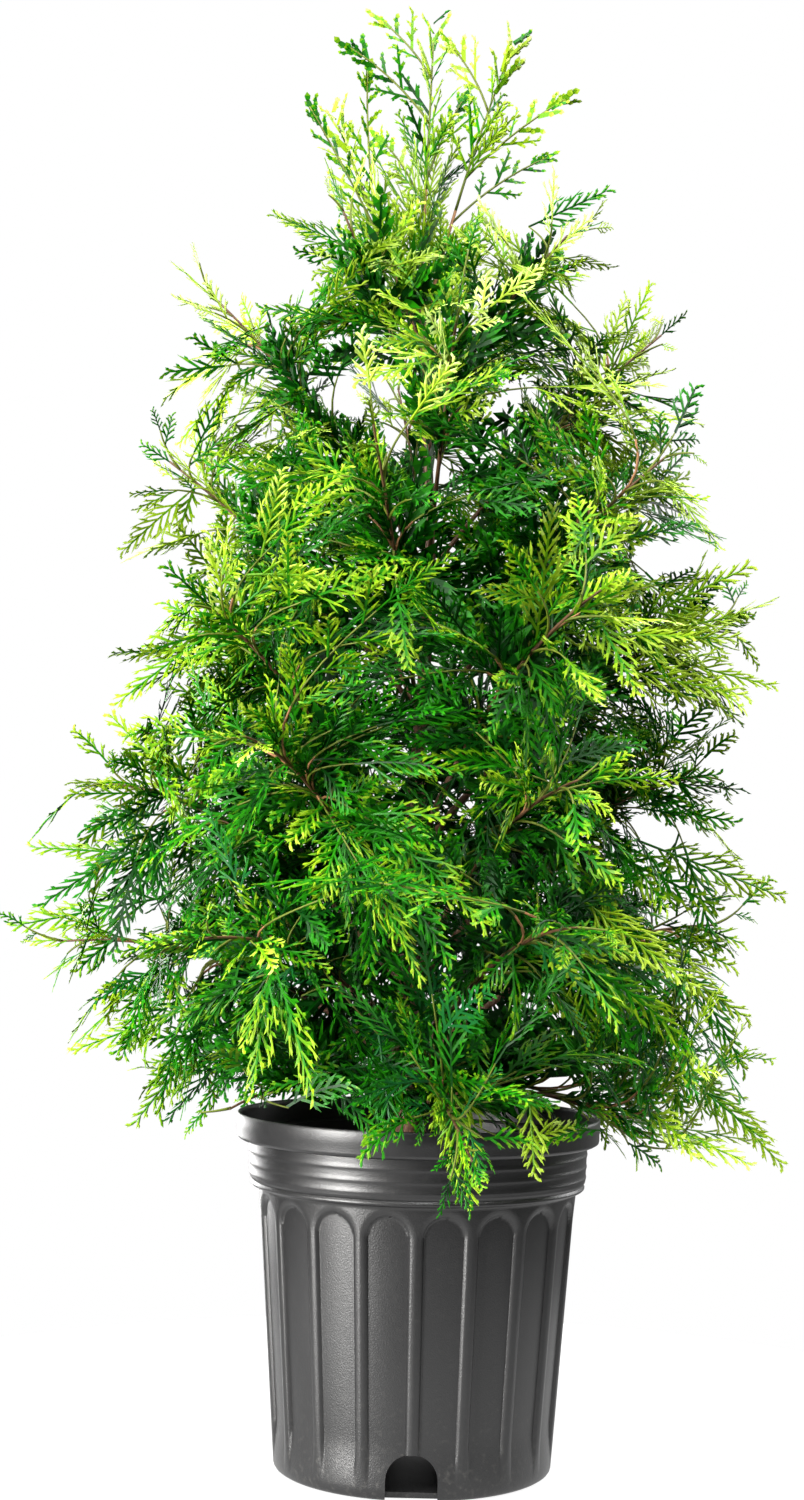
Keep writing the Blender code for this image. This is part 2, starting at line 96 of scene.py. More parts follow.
# Soil
SOIL_TOP_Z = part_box("soil")[1].z
SOIL_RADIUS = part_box("soil")[1].x
SOIL_MIDDLE_RADIUS = 0.018  # the surface falls from here to its edge
SOIL_EDGE_DROP = 0.0045
SOIL_MIDDLE_DROP = 0.0012  # room for the lumps under the soil's top
SOIL_DEPTH = 0.030  # how far down the piece of soil goes inside the pot
SOIL_LUMPS = 900
LUMP_RADII = (0.0012, 0.0042)
CHIP_RADII = (0.0008, 0.0032)

# Trunk
TRUNK_FOOT_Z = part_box("trunk")[0].z
TRUNK_TIP_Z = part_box("trunk")[1].z
TRUNK_FOOT_X = -0.004
TRUNK_RADIUS = 0.0046
TRUNK_TIP_RADIUS = 0.0011
FLARE_RADIUS = 0.0040
FLARE_HEIGHT = 0.012
FLARE_LOBES = 0.14
FLARE_ROWS_HEIGHT = 0.02  # rows of the trunk's mesh are closer below this height
SWAY = 0.0035
SWAY_TURNS = 1.15

# Limbs, by the rule of the solids
SEED = 7
GAP = 0.0003
BOUGH_RADIUS = 0.0021
STEM_RADIUS = 0.0014
STEM_TIP_RADIUS = 0.0005
LIMB_COLLAR_HEIGHT, LIMB_COLLAR_WIDTH = 0.0009, 0.0028  # the trunk's swelling at a limb's foot
BOUGH_OVERLAP = 0.0012  # how far a bough's bark is sunk in the trunk's
BOUGH_SWELL, BOUGH_SWELL_SHARE = 0.0008, 0.06
BEND_SHARE = 0.42
BARE_SHARE = 0.22
WIDEST_DEG, NARROWEST_DEG = 50, 34  # between a side spray and its limb, at the limb's foot and tip
PAIR_TURN = math.radians(65)
Ring = namedtuple("Ring", "name count leave_z first_az reach tip_z arch shift fall bough droop")
RINGS = (
    Ring("skirt", 6, 0.170, -20, 0.152, 0.150, 0.20, 0.012, 0.018, 0.0, 0.26),
    Ring("low", 6, 0.182, 180, 0.184, 0.245, 0.10, -0.007, 0.0, 0.30, 0.24),
    Ring("middle", 6, 0.222, 2, 0.166, 0.325, 0.0, -0.003, 0.0, 0.30, 0.18),
    Ring("upper", 5, 0.275, 8, 0.162, 0.400, -0.15, 0.006, 0.0, 0.28, 0.10),
    Ring("high", 5, 0.345, 186, 0.146, 0.475, -0.35, 0.003, 0.0, 0.0, 0.06),
    Ring("shoulder", 4, 0.425, 10, 0.128, 0.545, -0.45, 0.0, 0.0, 0.0, 0.02),
    Ring("neck", 3, 0.490, 215, 0.084, 0.605, -0.60, 0.010, 0.0, 0.0, 0.0),
)
Leader = namedtuple("Leader", "name leave_z azimuth tip")
LEADERS = (
    Leader("main", TRUNK_TIP_Z, 180, (-0.003, 0.0, 0.688)),
    Leader("left", 0.528, 175, (-0.052, 0.006, 0.645)),
    Leader("right", 0.540, 350, (0.036, -0.006, 0.676)),
)
# Thin bare shoots at the top: the limb and the share of it where each leaves, and its tip
Shoot = namedtuple("Shoot", "carrier share tip")
SHOOTS = (
    Shoot("leader_main", 0.80, (-0.028, 0.004, 0.688)),
    Shoot("leader_main", 0.64, (-0.043, -0.008, 0.670)),
    Shoot("leader_main", 0.42, (0.012, 0.016, 0.655)),
    Shoot("leader_main", 0.30, (-0.030, 0.030, 0.640)),
    Shoot("leader_right", 0.74, (0.006, -0.008, 0.671)),
    Shoot("leader_right", 0.50, (0.060, -0.012, 0.645)),
    Shoot("leader_right", 0.34, (0.054, 0.018, 0.627)),
    Shoot("leader_left", 0.50, (-0.035, -0.002, 0.661)),
    Shoot("leader_left", 0.40, (-0.062, -0.010, 0.640)),
)
# Sprays placed one by one over the front of the rim and on both sides: tip, way, length and how pale each is
Placed = namedtuple("Placed", "tip way length shade")
PLACED = (
    Placed((-0.023, -0.099, 0.1525), (-0.35, -0.15, -1.0), 0.048, 0.26),
    Placed((-0.010, -0.100, 0.1530), (0.15, -0.15, -1.0), 0.052, 0.22),
    Placed((0.024, -0.100, 0.1320), (0.22, -0.10, -1.0), 0.074, 0.36),
    Placed((0.015, -0.096, 0.1450), (0.00, -0.12, -1.0), 0.056, 0.24),
    Placed((0.052, -0.094, 0.1215), (0.08, -0.06, -1.0), 0.060, 0.48),
    Placed((0.076, -0.063, 0.1665), (0.80, 0.45, 0.20), 0.040, 0.54),
    Placed((0.092, -0.020, 0.6040), (0.90, 0.00, 0.44), 0.054, 0.12),
    Placed((0.120, 0.000, 0.5560), (0.90, 0.05, 0.35), 0.062, 0.42),
    Placed((0.094, 0.010, 0.5700), (0.85, 0.10, 0.50), 0.052, 0.30),
    Placed((0.163, -0.020, 0.4020), (0.95, -0.05, 0.22), 0.074, 0.46),
    Placed((0.160, -0.035, 0.3860), (0.95, -0.10, 0.02), 0.074, 0.50),
    Placed((0.164, -0.020, 0.3640), (0.92, -0.05, -0.22), 0.072, 0.44),
    Placed((0.146, -0.055, 0.3560), (0.90, -0.20, -0.20), 0.074, 0.50),
    Placed((0.150, -0.030, 0.4200), (0.85, -0.05, 0.42), 0.066, 0.42),
    Placed((0.118, -0.080, 0.3800), (0.85, -0.35, -0.05), 0.072, 0.42),
    Placed((0.160, -0.010, 0.3000), (0.98, -0.05, 0.16), 0.074, 0.44),
    Placed((0.172, 0.000, 0.2660), (0.92, -0.05, -0.34), 0.074, 0.40),
    Placed((0.150, -0.040, 0.2100), (0.80, -0.15, -0.55), 0.070, 0.46),
    Placed((0.120, -0.085, 0.2250), (0.70, -0.35, -0.55), 0.070, 0.50),
    Placed((-0.165, 0.000, 0.1870), (-0.90, 0.0, -0.35), 0.060, 0.40),
    Placed((-0.132, -0.020, 0.1550), (-0.60, -0.1, -0.80), 0.056, 0.30),
    Placed((0.172, 0.000, 0.1400), (0.70, 0.0, -0.70), 0.062, 0.46),
    Placed((0.160, -0.020, 0.1540), (0.75, -0.1, -0.60), 0.056, 0.30),
    Placed((-0.188, 0.000, 0.2830), (-1.0, 0.0, 0.04), 0.072, 0.32),
    Placed((-0.196, 0.000, 0.2450), (-0.95, 0.0, -0.20), 0.080, 0.28),
)
Limb = namedtuple("Limb", "name start bend end azimuth bough roll droop")

# Growth
LAST_SPRAY = 0.93  # the share of a limb where its last side spray stands
LONGEST_SPRAY, SHORTEST_SPRAY = 0.60, 0.30  # of the limb's leafy length, at its root and at its tip
# Where a limb's end fronds leave it, as a share, and how far their ways scatter
END_FRONDS = ((0.62, 0.5), (0.74, 0.3), (0.86, 0.0))
TWIG_RADIUS = 0.0007
BROWN_TWIG = 0.045  # a twig longer than this is brown up to its middle
SIDE_FROND_STEP = 0.011
SIDE_FROND_DEG = (34, 48)
END_FROND_LENGTH = (0.046, 0.074)
LONGEST_TWIG = 0.13
LEADER_STEP = 0.0036  # between the fronds of a leader
LEADER_FROND, LEADER_TIP_FROND = 0.052, 0.014  # their lengths at its foot and at its tip
SHOOT_STEP = 0.0078  # between the fingers of a bare shoot
TUFT = ((-0.30, 0.009), (0.0, 0.015), (0.30, 0.009))  # turns and lengths of the fingers at its tip
SHELL_Z = (0.140, 0.612)  # the tips that fill the outline stand between these heights
# How far out they stand, as a share of the outline, and how far every third one above a height does
SHELL_INSET, DEEPER_INSET, DEEPER_FOOT_Z = (0.80, 0.99), (0.62, 0.85), 0.26
GOLDEN_ANGLE = math.pi * (3 - math.sqrt(5))
# How low tips may hang: higher on the left, and in front of the rim only at the hanging sprays
LOWEST_X = (
    -0.105, -0.032, -0.028, -0.002, 0.003, 0.008, 0.030, 0.033, 0.042, 0.046, 0.058, 0.061, 0.088, 0.098,
)
LOWEST_Z = (
    0.168, 0.168, 0.151, 0.151, 0.160, 0.130, 0.130, 0.158, 0.158, 0.120, 0.120, 0.156, 0.156, 0.130,
)
LOWEST_LEFT_Z, LOWEST_RIGHT_Z = 0.146, 0.135
RIM_FRONT_X = 0.092  # the rim's front is between this on the left and on the right
RIM_FRONT_LEFT_Y, RIM_FRONT_RIGHT_Y = 0.04, -0.03  # and in front of these
POT_CLEARANCE = 0.0015
Frond = namedtuple("Frond", "root way side length droop twist shade kind")
Twig = namedtuple("Twig", "path first_radius last_radius look")
Leaves = namedtuple("Leaves", "frond pattern points")
# The outline: how far tips reach from the pot's axis at a height, to the left and to the right
OUTLINE_Z = np.linspace(0.117, 0.701, 36)
LEFT_REACH = (
    0.134, 0.134, 0.136, 0.142, 0.170, 0.169, 0.176, 0.186, 0.203, 0.196, 0.196, 0.180,
    0.172, 0.172, 0.174, 0.158, 0.155, 0.148, 0.158, 0.148, 0.144, 0.140, 0.142, 0.130,
    0.140, 0.126, 0.136, 0.120, 0.080, 0.070, 0.058, 0.062, 0.064, 0.048, 0.034, 0.030,
)
RIGHT_REACH = (
    0.150, 0.182, 0.177, 0.158, 0.175, 0.170, 0.156, 0.150, 0.158, 0.180, 0.170, 0.166,
    0.156, 0.146, 0.171, 0.171, 0.160, 0.166, 0.170, 0.149, 0.150, 0.140, 0.145, 0.142,
    0.124, 0.118, 0.129, 0.104, 0.086, 0.095, 0.064, 0.066, 0.064, 0.042, 0.038, 0.034,
)
# How steeply tips rise at a height
RISE_Z = (0.14, 0.20, 0.26, 0.36, 0.50, 0.62)
RISE = (-0.75, -0.35, 0.0, 0.55, 1.30, 2.0)
DEPTH_SHARE = 0.94  # how deep the plant is, as a share of how wide it is
# Openings through which the photograph shows sky: the middle of each in the view, half its width and height
VIEW_DISTANCE, VIEW_HEIGHT = 1.04, 0.265
GAPS = np.array((
    (-0.127, 0.250, 0.006, 0.003), (-0.104, 0.228, 0.006, 0.003), (0.105, 0.298, 0.009, 0.004),
    (0.106, 0.425, 0.008, 0.005), (0.076, 0.553, 0.007, 0.008), (0.063, 0.176, 0.006, 0.005),
    (-0.017, 0.483, 0.005, 0.005), (0.012, 0.598, 0.005, 0.009), (-0.047, 0.501, 0.006, 0.005),
    (-0.080, 0.560, 0.016, 0.010), (-0.038, 0.497, 0.004, 0.004), (0.039, 0.505, 0.003, 0.004),
    (0.004, 0.464, 0.003, 0.004),
))

# Fronds: the length drawn, where branchlets start, their step, reach and width, the step of their tips,
# and the width of the rachis
Kind = namedtuple("Kind", "length foot step reach rib tip_step spine")
KINDS = {
    "longest": Kind(0.076, 0.10, 0.0031, 0.33, 0.95, 0.0056, 0.85),
    "long": Kind(0.061, 0.10, 0.0030, 0.36, 0.95, 0.0056, 0.85),
    "middling": Kind(0.048, 0.09, 0.0028, 0.40, 0.95, 0.0054, 0.85),
    "short": Kind(0.036, 0.08, 0.0026, 0.44, 0.95, 0.0052, 0.85),
    "small": Kind(0.024, 0.06, 0.0023, 0.48, 0.95, 0.0046, 0.85),
    "shoot": Kind(0.024, 0.15, 0.0036, 0.30, 1.35, 0.0060, 1.10),
    "finger": Kind(0.012, 0.18, 0.0030, 0.26, 1.60, 0.0, 1.55),
    "inner": Kind(0.055, 0.10, 0.0042, 0.36, 2.3, 0.0, 0.85),
}
PLAIN_KINDS = ("shoot", "finger", "inner")
VARIANTS = 4  # the patterns drawn for each kind
SIZES_TRIED = (1.0, 0.8, 0.62, 0.45)  # until a frond stays within the outline
# Where sprays are paler, partly as painted light and partly as young growth: in front as in the photograph,
# and at the back as listed
PALE_PLACES = (
    (-0.045, -0.130, 0.348), (-0.058, -0.130, 0.302), (0.012, -0.130, 0.410), (0.065, -0.130, 0.265),
    (0.060, -0.140, 0.222), (0.090, -0.110, 0.370), (-0.110, -0.060, 0.420), (0.150, 0.020, 0.300),
    (0.110, -0.090, 0.235), (0.140, -0.050, 0.190), (-0.140, -0.050, 0.190), (-0.120, -0.080, 0.270),
    (0.060, 0.120, 0.400), (-0.050, 0.130, 0.330), (-0.150, 0.040, 0.260), (0.100, 0.110, 0.250),
)
PALE_SPREAD = 0.028
INNER_DEPTH = 0.66  # plain inner fronds stay within this share of the outline
INNER_ROOT_DEPTH = 0.55  # and are rooted within this one
INNER_TOP_Z = 0.55
INNER_LENGTH = (0.040, 0.066)
SHOOT_DEPTH = 1.6  # bare shoots may stand out of the outline by this factor
BEARING = 0.0012  # how near to a twig's middle line a frond that it bears is rooted
TWIG_LOOKS = {"old": 0, "stem": 1, "leafy": 2, "green": 2}
LOWER_RINGS = ("skirt", "low", "middle", "upper")

# Greens, dealt out by how far out and how high up a spray is: darker inside the plant as painted shade
SHADES = 8
# How much paler leaves are further out, darker inside as painted shade, and how much paler higher up
PAINTED_SHADE_BY_DEPTH, SHADE_BY_HEIGHT = 0.31, 0.43
SHADE_FOOT_Z, SHADE_HEIGHT = 0.15, 0.54
# The darker middle of the lower part is painted shade
CORE_X, CORE_WIDTH, CORE_TOP_Z = 0.01, 0.05, 0.48  # the darker middle of the lower part
PALE_CHANCE, DARK_CHANCE = 0.08, 0.18
BLUE_TOP_Z, BLUE_CHANCE = 0.26, 0.10

# Stage
FLOOR_GAP, FLOOR_THICKNESS = 0.0005, 0.02
SKY_WAY = (-0.15, 0.45, 0.88)  # the surroundings are brightest this way
LIT_POINT = (0.0, 0.0, 0.35)  # the lights face it
Light = namedtuple("Light", "name place size power colour")
LIGHTS = (
    Light("key", (-1.36, -1.06, 0.62), (0.40, 1.15), 60.0, (1.0, 0.98, 0.95)),
    Light("low", (-1.06, -0.88, 0.16), (0.24, 0.60), 36.0, (1.0, 0.99, 0.97)),
    Light("front", (0.15, -1.60, 1.90), (0.9, 0.9), 56.0, (1.0, 1.0, 1.0)),
    Light("edge", (-0.80, 1.20, 0.30), (0.50, 0.80), 19.0, (1.0, 0.99, 0.98)),
    Light("rim", (1.30, 0.95, 0.90), (0.6, 1.4), 22.0, (1.0, 1.0, 1.0)),
    Light("top_left", (-0.9, -0.7, 2.3), (0.8, 0.8), 108.0, (1.0, 1.0, 0.97)),
    Light("top_right", (1.0, -0.6, 2.1), (0.8, 0.8), 75.0, (1.0, 1.0, 0.98)),
)
# How the camera is turned left, tipped up and rolled
PAN_DEG, TIP_DEG, ROLL_DEG = 0.63, 3.72, 1.2


def unit(vector):
    return vector / np.linalg.norm(vector, axis=-1, keepdims=True)


def outward(azimuth):
    return np.array([math.cos(azimuth), math.sin(azimuth), 0.0])


def between(first, last, share):
    return first + (last - first) * share


def smooth(share):
    """A share kept from 0 to 1 and eased at both ends: 3 t squared less 2 t cubed."""
    share = np.clip(share, 0.0, 1.0)
    return share * share * (3 - 2 * share)


def around(count):
    """Angles that share out a full turn."""
    return 2 * np.pi * np.arange(count) / count


def at_places(rows, places, wanted):
    """The rows of an array, which stand at places, read between them at the wanted ones."""
    return np.stack([np.interp(wanted, places, column) for column in rows.T], -1)


def curve(start, bend, end, t):
    """Points of the quadratic curve from a start to an end that is pulled to a bend."""
    return (1 - t) ** 2 * start + 2 * t * (1 - t) * bend + t**2 * end


def tilted(way, side, angle):
    """A direction square to the way, turned about it by an angle."""
    side = unit(side - way * np.dot(side, way))
    return math.cos(angle) * side + math.sin(angle) * np.cross(way, side)


def swung(way, side, angle):
    """A way and a side square to it, both turned by an angle in their own plane, the way to the side."""
    cos, sin = math.cos(angle), math.sin(angle)
    return cos * way + sin * side, cos * side - sin * way


# Settings


class ThujaPot(bpy.types.PropertyGroup):
    """The nursery pot and its soil."""

    flute_depth: bpy.props.FloatProperty(
        name="Flute depth", description="How far each flute is sunk", default=0.0020, unit="LENGTH"
    )
    rib_height: bpy.props.FloatProperty(
        name="Rib height", description="How far the collar's ribs stand out", default=0.0003, unit="LENGTH"
    )
    plastic: bpy.props.FloatVectorProperty(
        name="Plastic", description="Colour of the pot", default=(0.0048, 0.0048, 0.0051), subtype="COLOR"
    )
    soil: bpy.props.FloatVectorProperty(
        name="Soil", description="Colour of the moist soil", default=(0.030, 0.019, 0.012), subtype="COLOR"
    )
    chips: bpy.props.IntProperty(
        name="Chips", description="How many chips of bark lie on the soil", default=420, min=0
    )


class ThujaFoliage(bpy.types.PropertyGroup):
    """How densely the plant grows, and its greens, from the painted shade inside the plant to its tips."""

    spray_step: bpy.props.FloatProperty(
        name="Spray step", description="Spacing of a limb's side sprays", default=0.0125, unit="LENGTH"
    )
    shell_sprays: bpy.props.IntProperty(
        name="Shell sprays", description="How many sprays fill the outline", default=380, min=1
    )
    inner_fronds: bpy.props.IntProperty(
        name="Inner fronds", description="How many plain fronds fill the inside", default=950, min=1
    )
    sag: bpy.props.FloatProperty(
        name="Sag", description="How much a frond's sides hang, per metre squared of their reach", default=9.0
    )
    branchlet_width: bpy.props.FloatProperty(
        name="Branchlet width", description="Width of the finest branchlets", default=0.00145, unit="LENGTH"
    )
    # Greens dealt by how far out a leaf is: the deep green inside the plant is painted shade
    deep_green: bpy.props.FloatVectorProperty(
        name="Deep green", description="Inner leaves", default=(0.0002, 0.022, 0.0004), subtype="COLOR"
    )
    mid_green: bpy.props.FloatVectorProperty(
        name="Mid green", description="Leaves half way out", default=(0.0085, 0.118, 0.0003), subtype="COLOR"
    )
    fresh_green: bpy.props.FloatVectorProperty(
        name="Fresh green", description="Outer leaves", default=(0.200, 0.300, 0.007), subtype="COLOR"
    )
    lime: bpy.props.FloatVectorProperty(
        name="Lime", description="The youngest tips", default=(0.350, 0.475, 0.120), subtype="COLOR"
    )
    blue_green: bpy.props.FloatVectorProperty(
        name="Blue green", description="Some low sprays", default=(0.004, 0.064, 0.011), subtype="COLOR"
    )


class ThujaWood(bpy.types.PropertyGroup):
    """The trunk, the boughs and the twigs."""

    bark: bpy.props.FloatVectorProperty(
        name="Bark", description="Trunk and boughs", default=(0.135, 0.062, 0.032), subtype="COLOR"
    )
    peel: bpy.props.FloatVectorProperty(
        name="Peeling bark", description="The lifted strips", default=(0.300, 0.200, 0.150), subtype="COLOR"
    )
    twig: bpy.props.FloatVectorProperty(
        name="Twig", description="Colour of the older twigs", default=(0.190, 0.088, 0.034), subtype="COLOR"
    )
    relief: bpy.props.FloatProperty(
        name="Relief", description="Height of the bark's strips", default=0.00035, unit="LENGTH"
    )


class ThujaStage(bpy.types.PropertyGroup):
    """The floor, the lights and the camera."""

    floor: bpy.props.FloatVectorProperty(
        name="Floor", description="Colour of the floor", default=(0.12, 0.12, 0.12), subtype="COLOR"
    )
    floor_glow: bpy.props.FloatProperty(
        name="Floor glow", description="How much the floor lightens its own shadows", default=0.92, min=0.0
    )
    floor_radius: bpy.props.FloatProperty(
        name="Floor radius", description="How far the floor reaches", default=0.36, unit="LENGTH"
    )
    surround: bpy.props.FloatProperty(
        name="Surround", description="How strongly the surroundings light the plant", default=0.39, min=0.0
    )
    distance: bpy.props.FloatProperty(
        name="Distance", description="Camera to the pot's axis", default=VIEW_DISTANCE, unit="LENGTH"
    )
    lens: bpy.props.FloatProperty(name="Lens", description="Focal length in millimetres", default=52.7)


# Materials


class Socket:
    """An output of a node tree on which Python's operators work: each adds one Math node."""

    def __init__(self, tree, end):
        self.tree = tree
        self.end = end

    def math(self, operation, first, second=0.0):
        made = self.tree.nodes.new("ShaderNodeMath")
        made.operation = operation
        for socket, value in zip(made.inputs, (first, second)):
            join(self.tree, socket, value)
        return Socket(self.tree, made.outputs[0])

    def __add__(self, other):
        return self.math("ADD", self, other)

    def __mul__(self, other):
        return self.math("MULTIPLY", self, other)

    def __sub__(self, other):
        return self.math("SUBTRACT", self, other)

    def __rsub__(self, other):
        return self.math("SUBTRACT", other, self)

    __radd__ = __add__
    __rmul__ = __mul__


def join(tree, socket, value):
    """Links a Socket to an input, or sets the input's own value."""
    if isinstance(value, Socket):
        tree.links.new(value.end, socket)
    elif hasattr(socket.default_value, "__len__") and len(socket.default_value) == 4:
        socket.default_value = (*value[:3], 1.0)
    else:
        socket.default_value = value


class Shading:
    """A node tree to which nodes are added with their settings and their inputs' values or links."""

    def __init__(self, tree):
        self.tree = tree

    def node(self, kind, settings, inputs, output=0):
        made = self.tree.nodes.new("ShaderNode" + kind)
        for name, value in settings.items():
            if name == "stops":
                set_stops(made.color_ramp, value)
            else:
                setattr(made, name, value)
        for name, value in inputs.items():
            join(self.tree, made.inputs[name], value)
        return Socket(self.tree, made.outputs[output])

    def masked(self, value, low, high):
        """0 where the value is below low, 1 above high, and eased between."""
        return self.node("MapRange", {"interpolation_type": "SMOOTHSTEP"}, {0: value, 1: low, 2: high})

    def mixed(self, mask, first, second):
        """The first colour where the mask is 0 and the second where it is 1."""
        return self.node("Mix", {"data_type": "RGBA"}, {0: mask, 6: first, 7: second}, 2)


class Finish(Shading):
    """A material with one Principled shader, whose plain values are set when it is made."""

    def __init__(self, name, **values):
        self.material = bpy.data.materials.new(name)
        self.material.use_nodes = True
        super().__init__(self.material.node_tree)
        self.shader = self.tree.nodes["Principled BSDF"]
        for socket, value in values.items():
            self.feed(socket.replace("_", " "), value)

    def feed(self, socket, value):
        join(self.tree, self.shader.inputs[socket], value)

    def place(self):
        """The piece's own coordinates, in metres."""
        return self.node("TexCoord", {}, {}, 3)

    def noise(self, scale, detail=3.0, stretch=(1.0, 1.0, 1.0)):
        """A noise of so many features a metre, stretched along an axis whose factor is below 1."""
        spread = self.node("Mapping", {}, {"Vector": self.place(), "Scale": stretch})
        return self.node("TexNoise", {}, {"Vector": spread, "Scale": scale, "Detail": detail})

    def bumped(self, height, distance, strength):
        made = self.node("Bump", {}, {"Height": height, "Distance": distance, "Strength": strength})
        self.feed("Normal", made)


def set_stops(ramp, stops):
    while len(ramp.elements) < len(stops):
        ramp.elements.new(1.0)
    for element, (position, colour) in zip(ramp.elements, stops):
        element.position = position
        element.color = (*colour, 1.0)


def plain(values):
    """Numbers as an array that can be scaled."""
    return np.array([float(value) for value in values])


def plastic_finish(pot):
    """Blow-moulded plastic: a fine pebbled grain, dull flow marks, and a little dust low down."""
    made = Finish("black_plastic_finish", Specular_IOR_Level=0.50)
    grain = made.noise(1500.0, 2.0)
    drift = made.noise(22.0, 4.0, (1.0, 1.0, 0.4))
    dust = made.masked(made.noise(420.0, 6.0), 0.50, 0.85)
    height = made.node("SeparateXYZ", {}, {0: made.place()}, 2)
    dusty = dust * ((1.0 - made.masked(height, 0.0, 0.05)) * 0.20 + 0.05)
    base = plain(pot.plastic)
    colour = made.mixed(made.masked(drift, 0.35, 0.65), base * 0.85, base * 1.25)
    made.feed("Base Color", made.mixed(dusty, colour, (0.10, 0.095, 0.085)))
    made.feed("Roughness", made.masked(drift, 0.3, 0.7) * 0.06 + grain * 0.08 + dusty * 0.3 + 0.31)
    made.bumped(grain + drift * 0.4, 0.0003, 0.30)
    return made.material


def soil_finish(pot):
    """Moist potting mix: dark peat with browner crumbs and a few pale ones."""
    made = Finish("potting_soil_finish", Roughness=0.9)
    base = plain(pot.soil)
    crumbs = made.noise(700.0, 5.0)
    patches = made.noise(90.0, 3.0)
    colour = made.mixed(made.masked(crumbs, 0.40, 0.68), base * 0.45, base * 1.7)
    colour = made.mixed(made.masked(patches, 0.5, 0.7) * 0.5, colour, base * 2.4)
    made.feed("Base Color", made.mixed(made.masked(crumbs, 0.74, 0.80), colour, (0.22, 0.17, 0.12)))
    made.feed("Roughness", 1.0 - made.masked(patches, 0.3, 0.6) * 0.25)
    made.bumped(crumbs, 0.0012, 0.6)
    return made.material


def chip_finish():
    made = Finish("bark_chip_finish", Roughness=0.85)
    grain = made.noise(900.0, 4.0, (1.0, 1.0, 0.3))
    colour = made.mixed(made.masked(grain, 0.35, 0.65), (0.040, 0.022, 0.012), (0.130, 0.075, 0.042))
    made.feed("Base Color", colour)
    made.bumped(grain, 0.0006, 0.5)
    return made.material


def bark_finish(wood):
    """Young thuja bark: purple-brown, with paler strips that lift along the grain and dark cracks."""
    made = Finish("bark_finish", Roughness=0.8)
    strips = made.noise(900.0, 4.0, (1.0, 1.0, 0.10))
    patches = made.noise(120.0, 3.0, (1.0, 1.0, 0.5))
    bark = plain(wood.bark)
    colour = made.mixed(made.masked(patches, 0.4, 0.65), bark * 0.7, bark * 1.3)
    colour = made.mixed(made.masked(strips, 0.55, 0.68), colour, plain(wood.peel))
    made.feed("Base Color", made.mixed(made.masked(1.0 - strips, 0.60, 0.70), colour, bark * 0.18))
    made.feed("Roughness", made.masked(strips, 0.4, 0.7) * 0.2 + 0.68)
    made.bumped(strips, 0.0008, 0.7)
    return made.material


def leaf_colours(foliage):
    """Plain mixes of the settings' greens, from the darkest to the palest, and then two bluish ones."""
    greens = (foliage.deep_green, foliage.mid_green, foliage.fresh_green, foliage.lime)
    stops = np.stack([plain(green) for green in greens])
    ramp = at_places(stops, np.arange(len(stops)), np.linspace(0, len(stops) - 1, SHADES))
    blue = plain(foliage.blue_green)
    return [*ramp, blue, 0.5 * (blue + stops[1])]


def leaf_finishes(foliage):
    """One plain waxy finish for each green."""
    return [
        Finish(f"leaf_green_{number}", Base_Color=colour, Roughness=0.42, Specular_IOR_Level=0.09).material
        for number, colour in enumerate(leaf_colours(foliage), 1)
    ]


def twig_finishes(wood, foliage):
    """Plain finishes for twigs, from old wood to this year's growth."""
    twig = plain(wood.twig)
    green = plain(foliage.fresh_green)
    colours = {"old": twig * 0.35, "brown": twig, "green": 0.06 * twig + 0.30 * green}
    return [
        Finish(f"twig_{name}", Base_Color=colour, Roughness=0.6, Specular_IOR_Level=0.3).material
        for name, colour in colours.items()
    ]


# Meshes


def add_object(name, data):
    made = bpy.data.objects.new(name, data)
    bpy.context.scene.collection.objects.link(made)
    return made


def plain_mesh(name, points, faces):
    mesh = bpy.data.meshes.new(name)
    mesh.from_pydata(points.tolist(), [], faces.tolist())
    return mesh


def add_piece(name, points, faces, finishes, looks=None, flat=False, sharp_deg=None):
    """A piece from an array of points and one of triangles or quads, with a look's number for each face."""
    mesh = bpy.data.meshes.new(name)
    count, sides = faces.shape
    mesh.vertices.add(len(points))
    mesh.vertices.foreach_set("co", np.ascontiguousarray(points, np.float32).ravel())
    mesh.loops.add(count * sides)
    mesh.loops.foreach_set("vertex_index", faces.astype(np.int32).ravel())
    mesh.polygons.add(count)
    mesh.polygons.foreach_set("loop_start", np.arange(0, count * sides, sides, dtype=np.int32))
    mesh.polygons.foreach_set("loop_total", np.full(count, sides, np.int32))
    for finish in finishes:
        mesh.materials.append(finish)
    if looks is not None:
        mesh.polygons.foreach_set("material_index", looks.astype(np.int32))
    mesh.polygons.foreach_set("use_smooth", np.full(count, not flat))
    mesh.update(calc_edges=True)
    if sharp_deg is not None:
        mesh.set_sharp_from_angle(angle=math.radians(sharp_deg))
    piece = add_object(name, mesh)
    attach(piece, BODY)
    return piece


def triangles(quads):
    return np.concatenate([quads[:, [0, 1, 2]], quads[:, [0, 2, 3]]])


def tube_quads(rings, sides):
    """The quads between neighbouring rings of a tube, facing out where the rings turn left about its way."""
    row, i = np.meshgrid(np.arange(rings - 1), np.arange(sides), indexing="ij")
    a = row * sides + i
    b = row * sides + (i + 1) % sides
    return np.stack([a, b, b + sides, a + sides], -1).reshape(-1, 4)


def closed_tube(rings, first_point, last_point):
    """Points and triangles of rings (rows, sides, 3) with a point that closes either end as a fan."""
    rows, sides = rings.shape[:2]
    points = np.concatenate([rings.reshape(-1, 3), [first_point], [last_point]])
    i = np.arange(sides)
    j = (i + 1) % sides
    last_row = (rows - 1) * sides
    foot = np.stack([j, i, np.full(sides, rows * sides)], 1)
    top = np.stack([last_row + i, last_row + j, np.full(sides, rows * sides + 1)], 1)
    return points, np.concatenate([triangles(tube_quads(rows, sides)), foot, top])


